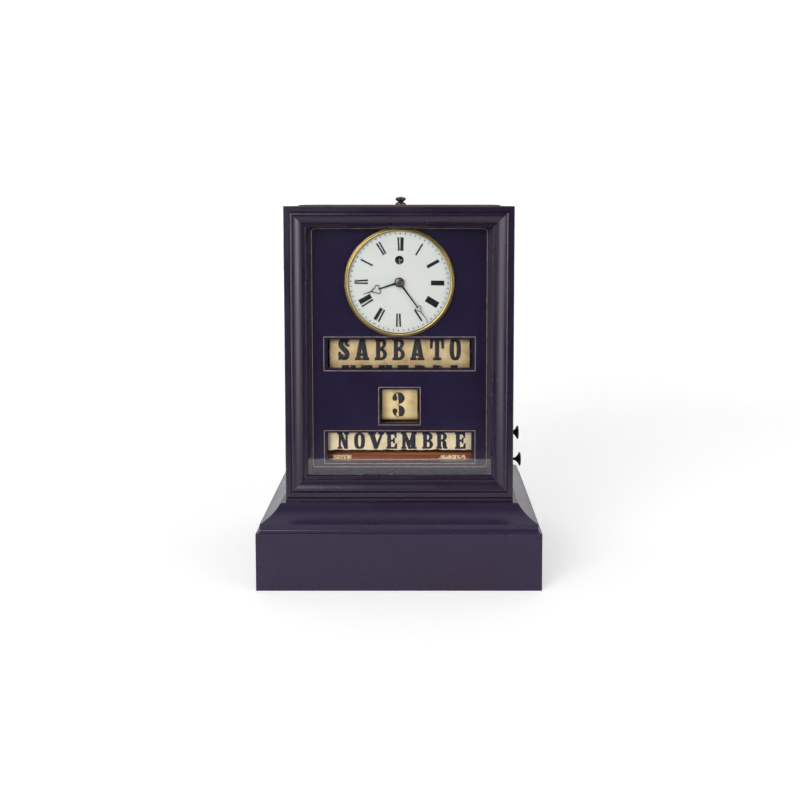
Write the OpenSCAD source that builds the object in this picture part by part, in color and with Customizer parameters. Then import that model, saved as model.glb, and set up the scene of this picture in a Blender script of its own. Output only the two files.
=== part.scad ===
// Calendar clock in a glazed ebonised case, with day, date and month on rollers.
// Origin: middle of the base's underside. X to the right, Y to the back, Z up; the door faces -Y.

/* [Base] */
// How far the plinth stands out past the case on every side
overhang = 22.5; // [15:0.5:30]
// Height of the plinth boards
plinth_h = 48; // [30:1:80]
// Thickness of the plinth boards
plinth_wall = 14; // [8:1:18]
// Radius of the rounded edge between plinth and moulding
ovolo = 3; // [1:0.5:5]
// Height of the small upright band under the cove
fillet_h = 4; // [2:0.5:8]
// Height of the whole base moulding
moulding_h = 20.6; // [14:0.2:30]
// Depth of the cove's hollow
cove_sag = 1.7; // [0.5:0.1:3]
// Flat ledge between the cove and the case
ledge = 4; // [2:0.5:8]

/* [Case] */
// Width of the case
case_w = 191; // [180:1:220]
// Depth of the case, door included
case_d = 157; // [150:1:200]
// Height of the case above the base moulding
case_h = 248; // [244:1:270]
// Thickness of the case boards
board_t = 8; // [6:0.5:9]
// Width of the lid
lid_w = 169.5; // [150:0.5:172]
// Depth of the lid, front to back
lid_d = 124; // [80:1:126]
// Thickness of the lid
lid_t = 5; // [3:0.5:6]
// How far the lid stands above the case top
lid_proud = 1; // [0.5:0.1:2]
// Width of the step that the lid rests on
rebate = 7; // [4:0.5:10]
// Diameter of the lid's knob
lid_knob_dia = 9.6; // [7:0.1:14]
// Thickness of the back door
back_door_t = 7; // [5:0.5:8]

/* [Front door] */
// Thickness of the door frame
door_t = 16; // [14:0.5:18]
// Width of the door frame's moulding
stile_w = 17.8; // [15:0.1:20]
// How far the door's foot stands above the case's foot
door_rise = 3; // [2:0.5:5]
// Depth of the glass behind the door's face
glass_set = 7.5; // [7:0.1:9]
// Thickness of the glass
glass_t = 2; // [1.5:0.1:2.5]
// Radius of the hinge knuckles
knuckle_r = 1; // [0.9:0.05:1.1]
// Height of each hinge
hinge_h = 28; // [20:1:36]

/* [Dial and hands] */
// Depth of the dial panel behind the door's face
panel_set = 18.5; // [18:0.1:20]
// Thickness of the dial panel
panel_t = 4; // [3:0.5:5]
// Height of the dial's centre above the case's foot
dial_rise = 184; // [176:0.2:186]
// Diameter of the dial that shows inside its rim
dial_dia = 86; // [80:1:90]
// Width of the brass rim round the dial
bezel_w = 3.6; // [3:0.1:6]
// Distance of the winding hole above the dial's centre
wind_rise = 18.7; // [18:0.1:19.5]
// Diameter of the winding hole
wind_hole = 7.4; // [6:0.1:9]
// Length of the minute hand
minute_len = 40.2; // [34:0.1:42]
// Length of the hour hand
hour_len = 32; // [24:0.1:34]
// Hour shown
hour_now = 8; // [0:1:11]
// Minute shown
minute_now = 24; // [0:1:59]

/* [Calendar windows] */
// Width of the day and month windows
win_w = 122.4; // [120:0.2:128]
// Height of the day window
day_win_h = 24.4; // [23:0.2:28]
// Height of the day window's middle above the case's foot
day_rise = 122.8; // [121:0.2:123]
// Width of the date window
date_win_w = 32.4; // [31:0.2:37]
// Height of the date window
date_win_h = 28.8; // [27:0.2:32]
// Height of the date window's middle above the case's foot
date_rise = 77.8; // [76:0.2:78]
// Height of the month window
month_win_h = 25; // [24:0.2:27]
// Height of the month window's middle above the case's foot
month_rise = 42.4; // [41:0.2:43]

/* [Rollers] */
// Radius of the day roller
day_r = 24.3; // [23:0.1:24.5]
// Length of the day roller
day_len = 120; // [110:1:126]
// Radius of the month spool with the band wound on it
month_roll_r = 9.4; // [8.6:0.1:9.6]
// Radius of the bare wooden month spools
month_core_r = 7.2; // [5:0.1:7.6]
// Length of the month spools
month_len = 128; // [124:1:130]
// Width of the month band
month_band_w = 123.6; // [110:0.2:125]
// Width of the date band
date_band_w = 30.2; // [26:0.2:32]
// Radius of the date spools with the band wound on them
date_roll_r = 10.2; // [9:0.1:10.4]
// Radius of the fixed rods that guide the date band
guide_r = 3.5; // [2.5:0.1:3.8]
// Thickness of the linen bands
band_t = 0.4; // [0.2:0.05:0.5]
// Radius of the side knobs
side_knob_r = 5.9; // [4:0.1:7]
// Distance that the upper side knob stands out
upper_knob_out = 7.3; // [6:0.1:10]
// Distance that the lower side knob stands out
lower_knob_out = 9.3; // [6:0.1:12]

/* [Movement] */
// Radius of the round movement plates
plate_r = 36; // [35:0.5:36.5]
// Thickness of the movement plates
plate_t = 2; // [1.5:0.1:2.2]
// Space between the movement plates
plate_gap = 26; // [25:0.5:27]
// Length of the pendulum from its pivot to the bob's middle
pendulum_len = 120; // [100:1:124]
// Radius of the pendulum bob
bob_r = 18; // [14:0.5:20]
// Thickness of the pendulum bob
bob_t = 9; // [6:0.5:10]

/* [Clearances] */
// Gap round each turning shaft in its hole
running = 0.05; // [0.03:0.01:0.08]
// Gap round doors, lid and other loose fits
loose = 0.4; // [0.3:0.05:0.6]

/* [Hidden] */
$fn = 48;
eps = 0.01;

plinth_w = case_w + 2 * overhang;
plinth_d = case_d + 2 * overhang;
case_z = plinth_h + moulding_h;
case_top_z = case_z + case_h;
inner_w = case_w - 2 * board_t;
front_y = -case_d / 2;
back_y = case_d / 2;
side_y = front_y + door_t + loose;
floor_top = case_z + board_t;
ceiling = case_top_z - board_t;
door_z = case_z + door_rise;
door_h = case_top_z - door_z;
sight_w = case_w - 2 * stile_w;
sight_h = door_h - 2 * stile_w;
door_mid_z = door_z + door_h / 2;
glass_lap = 3.2;
glass_y = front_y + glass_set;
bead_t = 4;
bead_w = 4.6;
groove = 3;
catch_x = case_w / 2 - 3;
catch_r = 1.2;
catch_len = 5;
panel_y = front_y + panel_set;
panel_back = panel_y + panel_t;
panel_fit = 0.2;

lid_y = side_y + 5 + lid_d / 2;
lid_top = case_top_z + lid_proud;
lid_knob_h = 7.2;
shank_r = 2.2;

knuckle_gap = 0.1;
hinge_out = knuckle_r + knuckle_gap;
hinge_x = -case_w / 2 - hinge_out;
front_hinge_y = side_y - loose / 2;
back_hinge_y = back_y + hinge_out;
back_hinge_x = -inner_w / 2;
hinge_pin_r = 0.5;
leaf_t = 0.8;
leaf_w = 6.4;
leaf_proud = 0.1;
front_hinge_zs = [door_z + 40, case_top_z - 40];
back_hinge_zs = [floor_top + 40, ceiling - 40];

dial_z = case_z + dial_rise;
dial_hole_r = 40;
dial_plate_t = 1;
enamel_t = 1.2;
dome_h = 0.8;
dial_rim_y = panel_y - dial_plate_t - enamel_t;
enamel_y = dial_rim_y - dome_h;
dial_r = dial_dia / 2 + 0.6;
bezel_out_r = dial_dia / 2 + bezel_w;
plate_front = panel_y + 9;
plate_back = plate_front + plate_t;
rear_front = plate_back + plate_gap;
rear_back = rear_front + plate_t;
cock_t = 1.6;
cock_y = rear_back + 9;
pendulum_y = cock_y + cock_t + 14.6;

hour_angle = 30 * hour_now + minute_now / 2;
minute_angle = 6 * minute_now;
hour_y = enamel_y - 1.1;
minute_y = enamel_y - 2.4;
hand_t = 0.5;
hour_ring = hour_len - 11.8;
hour_root_w = 1.9;
hour_boss_r = 3.6;
hour_lobe_r = 2.1;
minute_ring = minute_len - 12.6;
minute_root_w = 1.6;
minute_boss_r = 3;
minute_lobe_r = 1.5;
hub_r = 4.1;
hub_top = 1;
hub_dome_r = 9.6;

centre_r = 1;
cannon_r = 1.6;
hour_pipe_r = 2.6;
dial_bore_r = 3.3;
arbor_r = 1;
pivot_r = 0.8;
square_w = 3.2;

centre = [0, dial_z];
barrel_at = centre + [0, wind_rise];
motion_m = 0.5;
hour_m = 0.4;
minute_at = centre + 12 * [cos(200), sin(200)];
calendar_at = centre + 18 * [cos(-40), sin(-40)];
great_m = 0.36;
great_teeth = 84;
pinion_12 = 12;
pinion_8 = 8;
inter_teeth = 72;
centre_m = 0.27;
third_m = 0.25;
wheel_96 = 96;
escape_teeth = 36;
escape_r = 8;
escape_at = centre + [0, -21];
inter_at = third_point(barrel_at, great_m * (great_teeth + pinion_12) / 2,
                       centre, great_m * (inter_teeth + pinion_12) / 2, 1);
third_at = third_point(centre, centre_m * (wheel_96 + pinion_8) / 2,
                       escape_at, third_m * (wheel_96 + pinion_8) / 2, 1);
inter_wheel_in = 15;
inter_pinion_in = 9.9;
centre_wheel_in = 19;
centre_pinion_in = 14.3;
third_wheel_in = 22;
third_pinion_in = 18.3;
escape_pinion_in = 21.2;
pallet_half = 37.5;
pallet_gap = 0.4;
pallet_at = escape_at + [0, escape_r / cos(pallet_half)];

day_gap = 1.4;
day_z = case_z + day_rise - 1;
day_y = panel_back + day_gap + day_r;
month_gap = 1.1;
band_slack = 0.3;
month_y = panel_back + month_gap + band_t + band_slack + month_roll_r;
upper_month_z = case_z + month_rise + 9.4;
lower_month_z = upper_month_z - 23.5;
month_flap_h = 15.4;
month_arbor_r = 1.2;
date_front = panel_back + 3.8;
guide_gap = 0.1;
guide_y = date_front + band_t + guide_gap + guide_r;
upper_guide_z = case_z + date_rise + 16.4;
lower_guide_z = case_z + date_rise - 10.1;
date_spool_y = panel_back + 34;
upper_spool_z = case_z + date_rise + 4.4;
lower_spool_z = upper_spool_z - 26;
date_arbor_r = 1.5;
date_flange_r = date_roll_r + 0.4;
cheek_x = 67;
cheek_t = 3;
cheek_out = cheek_x + cheek_t;
star_x = cheek_out + 1.5;
star_t = 2;
star_teeth = 7;
star_r = 9;
day_arbor_r = 2.5;

trip_y = panel_back + 0.4;
trip_t = 1.2;
pin_orbit = 6.9;
pin_r = 0.6;
trip_at = centre + [31, -6];
rod_x_at = star_x + star_t + 2.5;
rod_y_at = panel_back + 12;
rod_r = 1.25;
lug_t = 5;
lug_zs = [upper_spool_z - 20, day_z + 22];

// Third corner of a triangle from two corners and their distances to it; side is +1 or -1
function third_point(a, ra, b, rb, side) =
    let (d = b - a, l = norm(d), along = (ra * ra - rb * rb + l * l) / (2 * l),
         up = sqrt(ra * ra - along * along))
    a + d / l * along + side * up / l * [-d.y, d.x];

// Direction from one centre to another, in degrees
function heading(a, b) = atan2(b.y - a.y, b.x - a.x);

// Points along an arc, from angle a0 to a1
function arc(c, r, a0, a1, n) = [for (i = [0:n]) let (a = a0 + (a1 - a0) * i / n) c + r * [cos(a), sin(a)]];

// Points along a shallow curve between two points, bowed sideways by sag
function bowed(p, q, sag, n) =
    let (d = q - p, side = [d.y, -d.x] / norm(d))
    [for (i = [0:n]) let (t = i / n) p + t * d + 4 * sag * t * (1 - t) * side];

// Angle at which a straight line touches two circles on the same side
function touch(a, ra, b, rb, side) =
    let (d = b - a) atan2(d.y, d.x) + side * acos((ra - rb) / norm(d));

// A plate facing the front: the children's flat shape, from depth y to y + t
module slab(y, t) {
    translate([0, y + t, 0]) rotate([90, 0, 0]) linear_extrude(t) children();
}

// A round bar along the depth
module bar_y(at, y0, y1, r) {
    translate([at.x, y0, at.y]) rotate([-90, 0, 0]) cylinder(h = y1 - y0, r = r);
}

// A round bar along the width; at holds depth and height
module bar_x(at, x0, x1, r) {
    translate([x0, at.x, at.y]) rotate([0, 90, 0]) cylinder(h = x1 - x0, r = r);
}

// A ring of four mitred mouldings, w by h, lying flat; pts holds distance inwards and height
module mitred_ring(w, h, pts, wide, high) {
    for (k = [0:3]) {
        len = k % 2 == 0 ? w : h;
        off = k % 2 == 0 ? h / 2 : w / 2;
        rotate(90 * k) translate([0, -off, 0]) intersection() {
            rotate([90, 0, 90]) translate([0, 0, -len / 2]) linear_extrude(len) polygon(pts);
            translate([0, 0, -high]) linear_extrude(2 * high + eps)
                polygon([[-len / 2, 0], [len / 2, 0], [len / 2 - wide, wide], [-len / 2 + wide, wide]]);
        }
    }
}

// A gear's outline; one tooth, or one gap, points along aim
module gear(teeth, m, aim, gap = false) {
    pitch = 360 / teeth;
    r = teeth * m / 2;
    rotate(aim + (gap ? pitch / 2 : 0)) polygon([for (i = [0:teeth - 1]) each [
        for (c = [[-0.27, -1.25], [-0.1, 0.9], [0.1, 0.9], [0.27, -1.25]])
            let (a = (i + c[0]) * pitch) (r + c[1] * m) * [cos(a), sin(a)]]]);
}

// Openings that leave straight spokes in a wheel
module crossings(r_in, r_out, arms, arm_w) {
    for (i = [0:arms - 1]) {
        out = asin(arm_w / 2 / r_out);
        in = asin(arm_w / 2 / r_in);
        a0 = 360 / arms * i;
        a1 = a0 + 360 / arms;
        polygon(concat(arc([0, 0], r_out, a0 + out, a1 - out, 10), arc([0, 0], r_in, a1 - in, a0 + in, 4)));
    }
}

// A ratchet outline with slanting teeth
module ratchet(teeth, r, depth) {
    polygon([for (i = [0:teeth - 1]) each [
        r * [cos(360 * i / teeth), sin(360 * i / teeth)],
        (r - depth) * [cos(360 * (i + 0.12) / teeth), sin(360 * (i + 0.12) / teeth)]]]);
}

// Brass wheel with spokes and its steel pinion on one arbor
module wheel_and_pinion(at, y_wheel, teeth, m, aim, y_pinion, leaves, pinion_m, back_aim, y0, y1) {
    color("goldenrod") slab(y_wheel, 1.2) translate(at) difference() {
        gear(teeth, m, aim);
        crossings(3.2, teeth * m / 2 - 2.2, 4, 1.4);
    }
    color("silver") slab(y_pinion, 2.6) translate(at) gear(leaves, pinion_m, back_aim, true);
    color("silver") bar_y(at, plate_back + 0.2, rear_front - 0.2, min(arbor_r, leaves * pinion_m / 2 - 0.35));
    color("silver") bar_y(at, y0, y1, pivot_r * 0.6);
}

// Boards and mouldings of the case

module plinth() {
    color("#2a2630") difference() {
        translate([-plinth_w / 2, -plinth_d / 2, 0]) cube([plinth_w, plinth_d, plinth_h]);
        translate([-plinth_w / 2 + plinth_wall, -plinth_d / 2 + plinth_wall, -1])
            cube([plinth_w - 2 * plinth_wall, plinth_d - 2 * plinth_wall, plinth_h + 2]);
    }
}

module base_moulding() {
    cove_foot = [ovolo, ovolo + fillet_h];
    cove_head = [overhang - ledge, moulding_h];
    wide = overhang + 10;
    color("#2a2630") translate([0, 0, plinth_h]) mitred_ring(plinth_w, plinth_d, concat(
        arc([0, ovolo], ovolo, -90, 0, 6),
        bowed(cove_foot, cove_head, cove_sag, 8), [[wide, moulding_h], [wide, 0]]), wide, moulding_h + 1);
}

module case_floor() {
    lip = door_rise - loose;
    color("#2a2630") {
        translate([-case_w / 2, side_y, case_z]) cube([case_w, back_y - side_y, board_t]);
        translate([-case_w / 2, front_y, case_z]) cube([case_w, door_t + loose + 1, lip]);
    }
}

module side_board(side) {
    x = side > 0 ? inner_w / 2 : -case_w / 2;
    color("#2a2630") difference() {
        translate([x, side_y, floor_top]) cube([board_t, back_y - side_y, ceiling - floor_top]);
        translate([side > 0 ? x - eps : case_w / -2 + board_t - groove, panel_y, floor_top - 1])
            cube([groove + eps, panel_t, ceiling - floor_top + 2]);
        if (side < 0) for (z = front_hinge_zs) translate([x - 1, side_y - 1, z - hinge_h / 2])
            cube([leaf_w + 1, leaf_t - leaf_proud + 1, hinge_h]);
        if (side > 0) for (z = [upper_month_z, lower_month_z])
            bar_x([month_y, z], x - 1, x + board_t + 1, month_arbor_r + running);
        if (side > 0) bar_y([catch_x, door_mid_z], side_y - 1, side_y + catch_len + 2, catch_r + loose);
    }
}

module case_left_side() side_board(-1);
module case_right_side() side_board(1);

module case_top() {
    open_w = lid_w - 2 * rebate;
    open_d = lid_d - 2 * rebate;
    seat = lid_t - lid_proud;
    color("#2a2630") difference() {
        translate([-case_w / 2, side_y, ceiling]) cube([case_w, back_y - side_y, board_t]);
        translate([-open_w / 2, lid_y - open_d / 2, ceiling - 1]) cube([open_w, open_d, board_t + 2]);
        translate([-lid_w / 2 - loose, lid_y - lid_d / 2 - loose, case_top_z - seat])
            cube([lid_w + 2 * loose, lid_d + 2 * loose, seat + 1]);
    }
}

module lid() {
    color("#33261f") difference() {
        translate([-lid_w / 2, lid_y - lid_d / 2, lid_top - lid_t]) cube([lid_w, lid_d, lid_t]);
        translate([0, lid_y, lid_top - lid_t - 1]) cylinder(h = lid_t + 2, r = shank_r / 2);
    }
}

module lid_knob() {
    r = lid_knob_dia / 2;
    color("#1d1a1c") translate([0, lid_y, lid_top]) rotate_extrude() polygon(concat(
        [[0, -lid_t], [shank_r / 2, -lid_t], [shank_r / 2, 0], [r, 0]],
        arc([r - 0.9, 0.9], 0.9, 0, 90, 4), [[2.8, 2.2], [2.5, 2.8]],
        [[r - 1.2, 3.4]], arc([r - 1.6, 5], 1.6, -60, 75, 6), [[1.5, lid_knob_h], [0, lid_knob_h]]));
}

module back_door() {
    y = back_y - back_door_t;
    color("#3a2a20") difference() {
        translate([-inner_w / 2 + loose, y, floor_top + loose])
            cube([inner_w - 2 * loose, back_door_t, ceiling - floor_top - 2 * loose]);
        bar_y([inner_w / 2 - 14, door_mid_z], y - 1, back_y + 1, shank_r);
    }
}

module back_door_knob() {
    color("goldenrod") translate([inner_w / 2 - 14, back_y, door_mid_z]) rotate([-90, 0, 0])
        rotate_extrude() polygon(concat([[0, -back_door_t], [shank_r, -back_door_t], [shank_r, 0], [3.4, 0],
            [3.4, 1], [2.2, 1.6], [2.2, 4]], arc([1.6, 7], 3.4, -55, 80, 6), [[0, 10.4]]));
}

// Glazed front door

module door_frame() {
    quirk = 4.6;
    crest = 7.1;
    rise_r = 3.4;
    hump_r = 12.2;
    hump_mid = [crest - hump_r * cos(80), door_t - hump_r * sin(80)];
    foot = hump_mid + hump_r * [cos(40), sin(40)];
    pts = concat(
        [[0, 0], [0, door_t - 0.8], [0.8, door_t], [quirk, door_t]],
        arc([crest, door_t - rise_r], rise_r, 132, 96, 3),
        arc(hump_mid, hump_r, 80, 40, 7),
        [[foot.x + 0.2, door_t - 5.7], [stile_w - 0.6, door_t - 6.1], [stile_w, door_t - glass_set],
         [stile_w - glass_lap, door_t - glass_set], [stile_w - glass_lap, door_t - glass_set - glass_t],
         [stile_w - bead_w, door_t - glass_set - glass_t], [stile_w - bead_w, 0]]);
    color("#2a2630") difference() {
        translate([0, side_y - loose, door_mid_z]) rotate([90, 0, 0])
            mitred_ring(case_w, door_h, pts, stile_w, door_t + 1);
        for (z = front_hinge_zs)
            translate([-case_w / 2 - 1, side_y - loose - leaf_t + leaf_proud, z - hinge_h / 2])
                cube([leaf_w + 1, leaf_t + 1, hinge_h]);
        bar_y([catch_x, door_mid_z], side_y - loose - catch_len, side_y, catch_r);
    }
}

module door_glass() {
    w = sight_w + 2 * glass_lap;
    h = sight_h + 2 * glass_lap;
    color([0.8, 0.85, 0.9, 0.3]) translate([-w / 2, glass_y, door_mid_z - h / 2]) cube([w, glass_t, h]);
}

module glazing_beads() {
    pts = [[0, 0], [0, bead_t], [bead_w, bead_t], [bead_w, bead_t - 1.2], [1.6, 0]];
    color("#2a2630") translate([0, glass_y + glass_t + bead_t, door_mid_z]) rotate([90, 0, 0])
        mitred_ring(sight_w + 2 * bead_w, sight_h + 2 * bead_w, pts, bead_w, bead_t + 1);
}

module door_catch() {
    color("goldenrod") {
        bar_y([catch_x, door_mid_z], side_y - loose - catch_len, side_y + catch_len - loose, catch_r);
        translate([catch_x, side_y + catch_len - loose, door_mid_z]) sphere(r = catch_r);
    }
}

// Hinges: each has a middle knuckle on the door and an upper and a lower one on the case

module knuckles(at, z, parts) {
    third = hinge_h / 3;
    for (i = parts) difference() {
        translate([at.x, at.y, z - hinge_h / 2 + third * i + (i == 0 ? 0 : 0.15)])
            cylinder(h = third - (i == 1 ? 0.3 : 0.15), r = knuckle_r);
        translate([at.x, at.y, z - hinge_h]) cylinder(h = 2 * hinge_h, r = hinge_pin_r + running);
    }
}

module leaf_blocks(x, y, w, t, z, parts) {
    third = hinge_h / 3;
    for (i = parts) translate([x, y, z - hinge_h / 2 + third * i + (i == 0 ? 0 : 0.15)])
        cube([w, t, third - (i == 1 ? 0.3 : 0.15)]);
}

module front_leaf(z, parts, y) {
    difference() {
        union() {
            leaf_blocks(hinge_x, y, hinge_out + leaf_w, leaf_t, z, parts);
            knuckles([hinge_x, front_hinge_y], z, parts);
        }
        translate([hinge_x, front_hinge_y, z - hinge_h]) cylinder(h = 2 * hinge_h, r = hinge_pin_r + running);
    }
}

module back_leaf(z, parts, side) {
    difference() {
        union() {
            leaf_blocks(side < 0 ? back_hinge_x - leaf_w : back_hinge_x, back_y, leaf_w, leaf_t, z, parts);
            knuckles([back_hinge_x, back_hinge_y], z, parts);
        }
        translate([back_hinge_x, back_hinge_y, z - hinge_h])
            cylinder(h = 2 * hinge_h, r = hinge_pin_r + running);
    }
}

module case_hinge_leaves() {
    color("goldenrod") for (z = front_hinge_zs) front_leaf(z, [0, 2], side_y - leaf_proud);
    color("goldenrod") for (z = back_hinge_zs) back_leaf(z, [0, 2], -1);
}

module door_hinge_leaves() {
    color("goldenrod") for (z = front_hinge_zs) front_leaf(z, [1], side_y - loose - leaf_t + leaf_proud);
}

module back_hinge_leaves() {
    color("goldenrod") for (z = back_hinge_zs) back_leaf(z, [1], 1);
}

module hinge_pins() {
    color("silver") for (z = front_hinge_zs) translate([hinge_x, front_hinge_y, z - hinge_h / 2 - 0.6])
        cylinder(h = hinge_h + 1.2, r = hinge_pin_r);
    color("silver") for (z = back_hinge_zs) translate([back_hinge_x, back_hinge_y, z - hinge_h / 2 - 0.6])
        cylinder(h = hinge_h + 1.2, r = hinge_pin_r);
}

// Panel, dial and hands

module dial_panel() {
    w = inner_w + 2 * groove - 2 * panel_fit;
    color("#241c36") difference() {
        translate([-w / 2, panel_y, floor_top]) cube([w, panel_t, ceiling - floor_top]);
        bar_y(centre, panel_y - 1, panel_back + 1, dial_hole_r);
        for (win = [[win_w, day_win_h, day_rise], [date_win_w, date_win_h, date_rise],
                    [win_w, month_win_h, month_rise]])
            translate([-win[0] / 2, panel_y - 1, case_z + win[2] - win[1] / 2])
                cube([win[0], panel_t + 2, win[1]]);
    }
}

module dial_plate() {
    color("goldenrod") difference() {
        union() {
            bar_y(centre, panel_y - dial_plate_t, panel_y, dial_r);
            for (a = [30, 150, 270]) bar_y(centre + 33 * [cos(a), sin(a)], panel_y - eps, plate_front, 2);
        }
        bar_y(centre, panel_y - 3, panel_y + 1, dial_bore_r);
        bar_y(barrel_at, panel_y - 3, panel_y + 1, wind_hole / 2);
    }
}

module enamel_dial() {
    dome_r = (dial_r * dial_r + dome_h * dome_h) / (2 * dome_h);
    color("white") difference() {
        translate([0, dial_rim_y + enamel_t, dial_z]) rotate([90, 0, 0]) rotate_extrude() polygon(concat(
            [[0, 0], [dial_r, 0]],
            [for (i = [10:-1:0]) let (x = dial_r * i / 10)
                [x, enamel_t + dome_h - dome_r + sqrt(dome_r * dome_r - x * x)]]));
        bar_y(centre, enamel_y - 1, panel_y, dial_bore_r);
        bar_y(barrel_at, enamel_y - 1, panel_y, wind_hole / 2);
    }
}

module dial_bezel() {
    r0 = dial_dia / 2;
    color("gold") translate([0, panel_y, dial_z]) rotate([90, 0, 0]) rotate_extrude() polygon(concat(
        [[dial_r, 0], [bezel_out_r, 0], [bezel_out_r, 1.2]],
        arc([bezel_out_r - 1.1, 2.4], 1.1, -40, 150, 7),
        [[r0 + 1.9, 3.6]], arc([r0 + 1.1, 4.6], 1, 10, 190, 7),
        [[r0, 3.4], [r0, dial_plate_t + enamel_t + 0.25], [dial_r, dial_plate_t + enamel_t + 0.05]]));
}

// A hand pointing up, with a pierced trefoil; ring is the height of the trefoil's middle
module hand(len, ring, root_w, boss_r, lobe_r) {
    lobes = [[0, 0.9], [-0.85, -0.45], [0.85, -0.45]];
    difference() {
        union() {
            circle(r = boss_r);
            polygon([[-root_w / 2, 0], [root_w / 2, 0], [0.45, ring - lobe_r], [-0.45, ring - lobe_r]]);
            for (l = lobes) translate([0, ring] + lobe_r * l) circle(r = lobe_r);
            polygon([[-0.45, ring + lobe_r * 1.75], [0.45, ring + lobe_r * 1.75], [0.12, len], [-0.12, len]]);
        }
        for (l = lobes) translate([0, ring] + lobe_r * l * 0.94) circle(r = lobe_r - 0.42);
        translate([0, ring]) circle(r = lobe_r * 0.55);
    }
}

module hour_hand() {
    color("#14161c") difference() {
        slab(hour_y, hand_t) translate(centre) rotate(-hour_angle)
            hand(hour_len, hour_ring, hour_root_w, hour_boss_r, hour_lobe_r);
        bar_y(centre, hour_y - 1, hour_y + hand_t + 1, hour_pipe_r);
    }
}

module minute_hand() {
    color("#14161c") difference() {
        union() {
            slab(minute_y, hand_t) translate(centre) rotate(-minute_angle)
                hand(minute_len, minute_ring, minute_root_w, minute_boss_r, minute_lobe_r);
            translate([0, minute_y + eps, dial_z]) rotate([90, 0, 0]) rotate_extrude() polygon(concat(
                [[cannon_r, 0], [hub_r, 0], [hub_r, 0.3]],
                arc([0, hub_top - hub_dome_r], hub_dome_r, 66, 84, 4), [[cannon_r * 0.6, hub_top - 0.1]]));
        }
        bar_y(centre, minute_y - 3, minute_y + 2, cannon_r);
    }
}

module cannon_pinion() {
    y1 = plate_front - 0.3;
    color("silver") difference() {
        union() {
            bar_y(centre, minute_y - 0.6, y1, cannon_r);
            slab(y1 - 1.9, 1.9) translate(centre)
                gear(12, motion_m, heading(centre, minute_at), true);
        }
        bar_y(centre, minute_y - 2, y1 + 1, centre_r + running);
    }
}

module minute_wheel() {
    y1 = plate_front - 0.3;
    color("goldenrod") difference() {
        union() {
            slab(y1 - 1.5, 1.2) translate(minute_at) gear(36, motion_m, heading(minute_at, centre));
            slab(y1 - 5.2, 3.8) translate(minute_at) gear(12, hour_m, heading(minute_at, centre), true);
        }
        bar_y(minute_at, y1 - 7, y1 + 1, 1 + running);
    }
}

module hour_wheel() {
    y1 = plate_front - 3.8;
    color("goldenrod") difference() {
        union() {
            slab(y1 - 1.2, 1.2) translate(centre) gear(48, hour_m, heading(centre, minute_at));
            slab(y1 - 2.9, 1.8) translate(centre) gear(24, motion_m, heading(centre, calendar_at), true);
            bar_y(centre, hour_y - 0.2, y1, hour_pipe_r);
        }
        bar_y(centre, hour_y - 1, y1 + 1, cannon_r + running);
    }
}

module calendar_wheel() {
    y1 = plate_front - 5.3;
    pin = calendar_at + pin_orbit * [cos(100), sin(100)];
    color("goldenrod") difference() {
        union() {
            slab(y1 - 1.2, 1.2) translate(calendar_at) difference() {
                gear(48, motion_m, heading(calendar_at, centre));
                crossings(3, 5.6, 4, 1.6);
            }
            bar_y(calendar_at, y1 - 1.2, plate_front - 0.3, 2);
            bar_y(pin, y1 - eps, y1 + 2.2, pin_r);
        }
        bar_y(calendar_at, y1 - 3, plate_front + 1, 1 + running);
    }
}

// Movement plates

module front_plate() {
    color("goldenrod") {
        difference() {
            bar_y(centre, plate_front, plate_back, plate_r);
            bar_y(barrel_at, plate_front - 1, plate_back + 1, pivot_r * 2 + running);
            bar_y(centre, plate_front - 1, plate_back + 1, centre_r + running);
            for (p = [inter_at, third_at, escape_at])
                bar_y(p, plate_front - 1, plate_back + 1, pivot_r * 0.6 + running);
            bar_y(trip_at, plate_front - 1, plate_back + 1, pivot_r);
        }
        bar_y(minute_at, plate_front - 6, plate_front + eps, 1);
        bar_y(calendar_at, plate_front - 7.2, plate_front + eps, 1);
        bar_y(trip_at, trip_y - 0.2, plate_back, pivot_r);
        bar_y(barrel_at + [9.2, 5.2], plate_front - 2.2, plate_front + eps, 1);
    }
}

module back_plate() {
    color("goldenrod") difference() {
        bar_y(centre, rear_front, rear_back, plate_r);
        bar_y(barrel_at, rear_front - 1, rear_back + 1, pivot_r * 2 + running);
        bar_y(centre, rear_front - 1, rear_back + 1, pivot_r + running);
        for (p = [inter_at, third_at]) bar_y(p, rear_front - 1, rear_back + 1, pivot_r * 0.6 + running);
        bar_y(escape_at, rear_front - 1, rear_back + 1, 2);
        bar_y(pallet_at, rear_front - 1, rear_back + 1, pivot_r + running);
    }
}

module plate_pillars() {
    color("goldenrod") for (a = [45, 135, 225, 315]) {
        at = centre + (plate_r - 3.4) * [cos(a), sin(a)];
        bar_y(at, plate_back, rear_front, 2.2);
    }
}

module barrel() {
    y0 = plate_back + 1;
    y1 = y0 + 9.5;
    color("goldenrod") difference() {
        union() {
            bar_y(barrel_at, y0, y1 + eps, 14.2);
            slab(y1, 1.5) translate(barrel_at) gear(great_teeth, great_m, heading(barrel_at, inter_at));
        }
        bar_y(barrel_at, y0 + 1, y1 + 0.5, 13.4);
        bar_y(barrel_at, y0 - 1, y1 + 3, pivot_r * 2 + running);
    }
}

module mainspring() {
    turns = 6;
    r_in = 3.4;
    step = 1.5;
    strip = 0.3;
    n = turns * 20;
    line = [for (i = [0:n]) let (a = 18 * i, r = r_in + step * i / 20) [r, a]];
    color("steelblue") slab(plate_back + 2.4, 7.2) translate(barrel_at) polygon(concat(
        [for (p = line) p[0] * [cos(p[1]), sin(p[1])]],
        [for (i = [n:-1:0]) (line[i][0] + strip) * [cos(line[i][1]), sin(line[i][1])]]));
}

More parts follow.
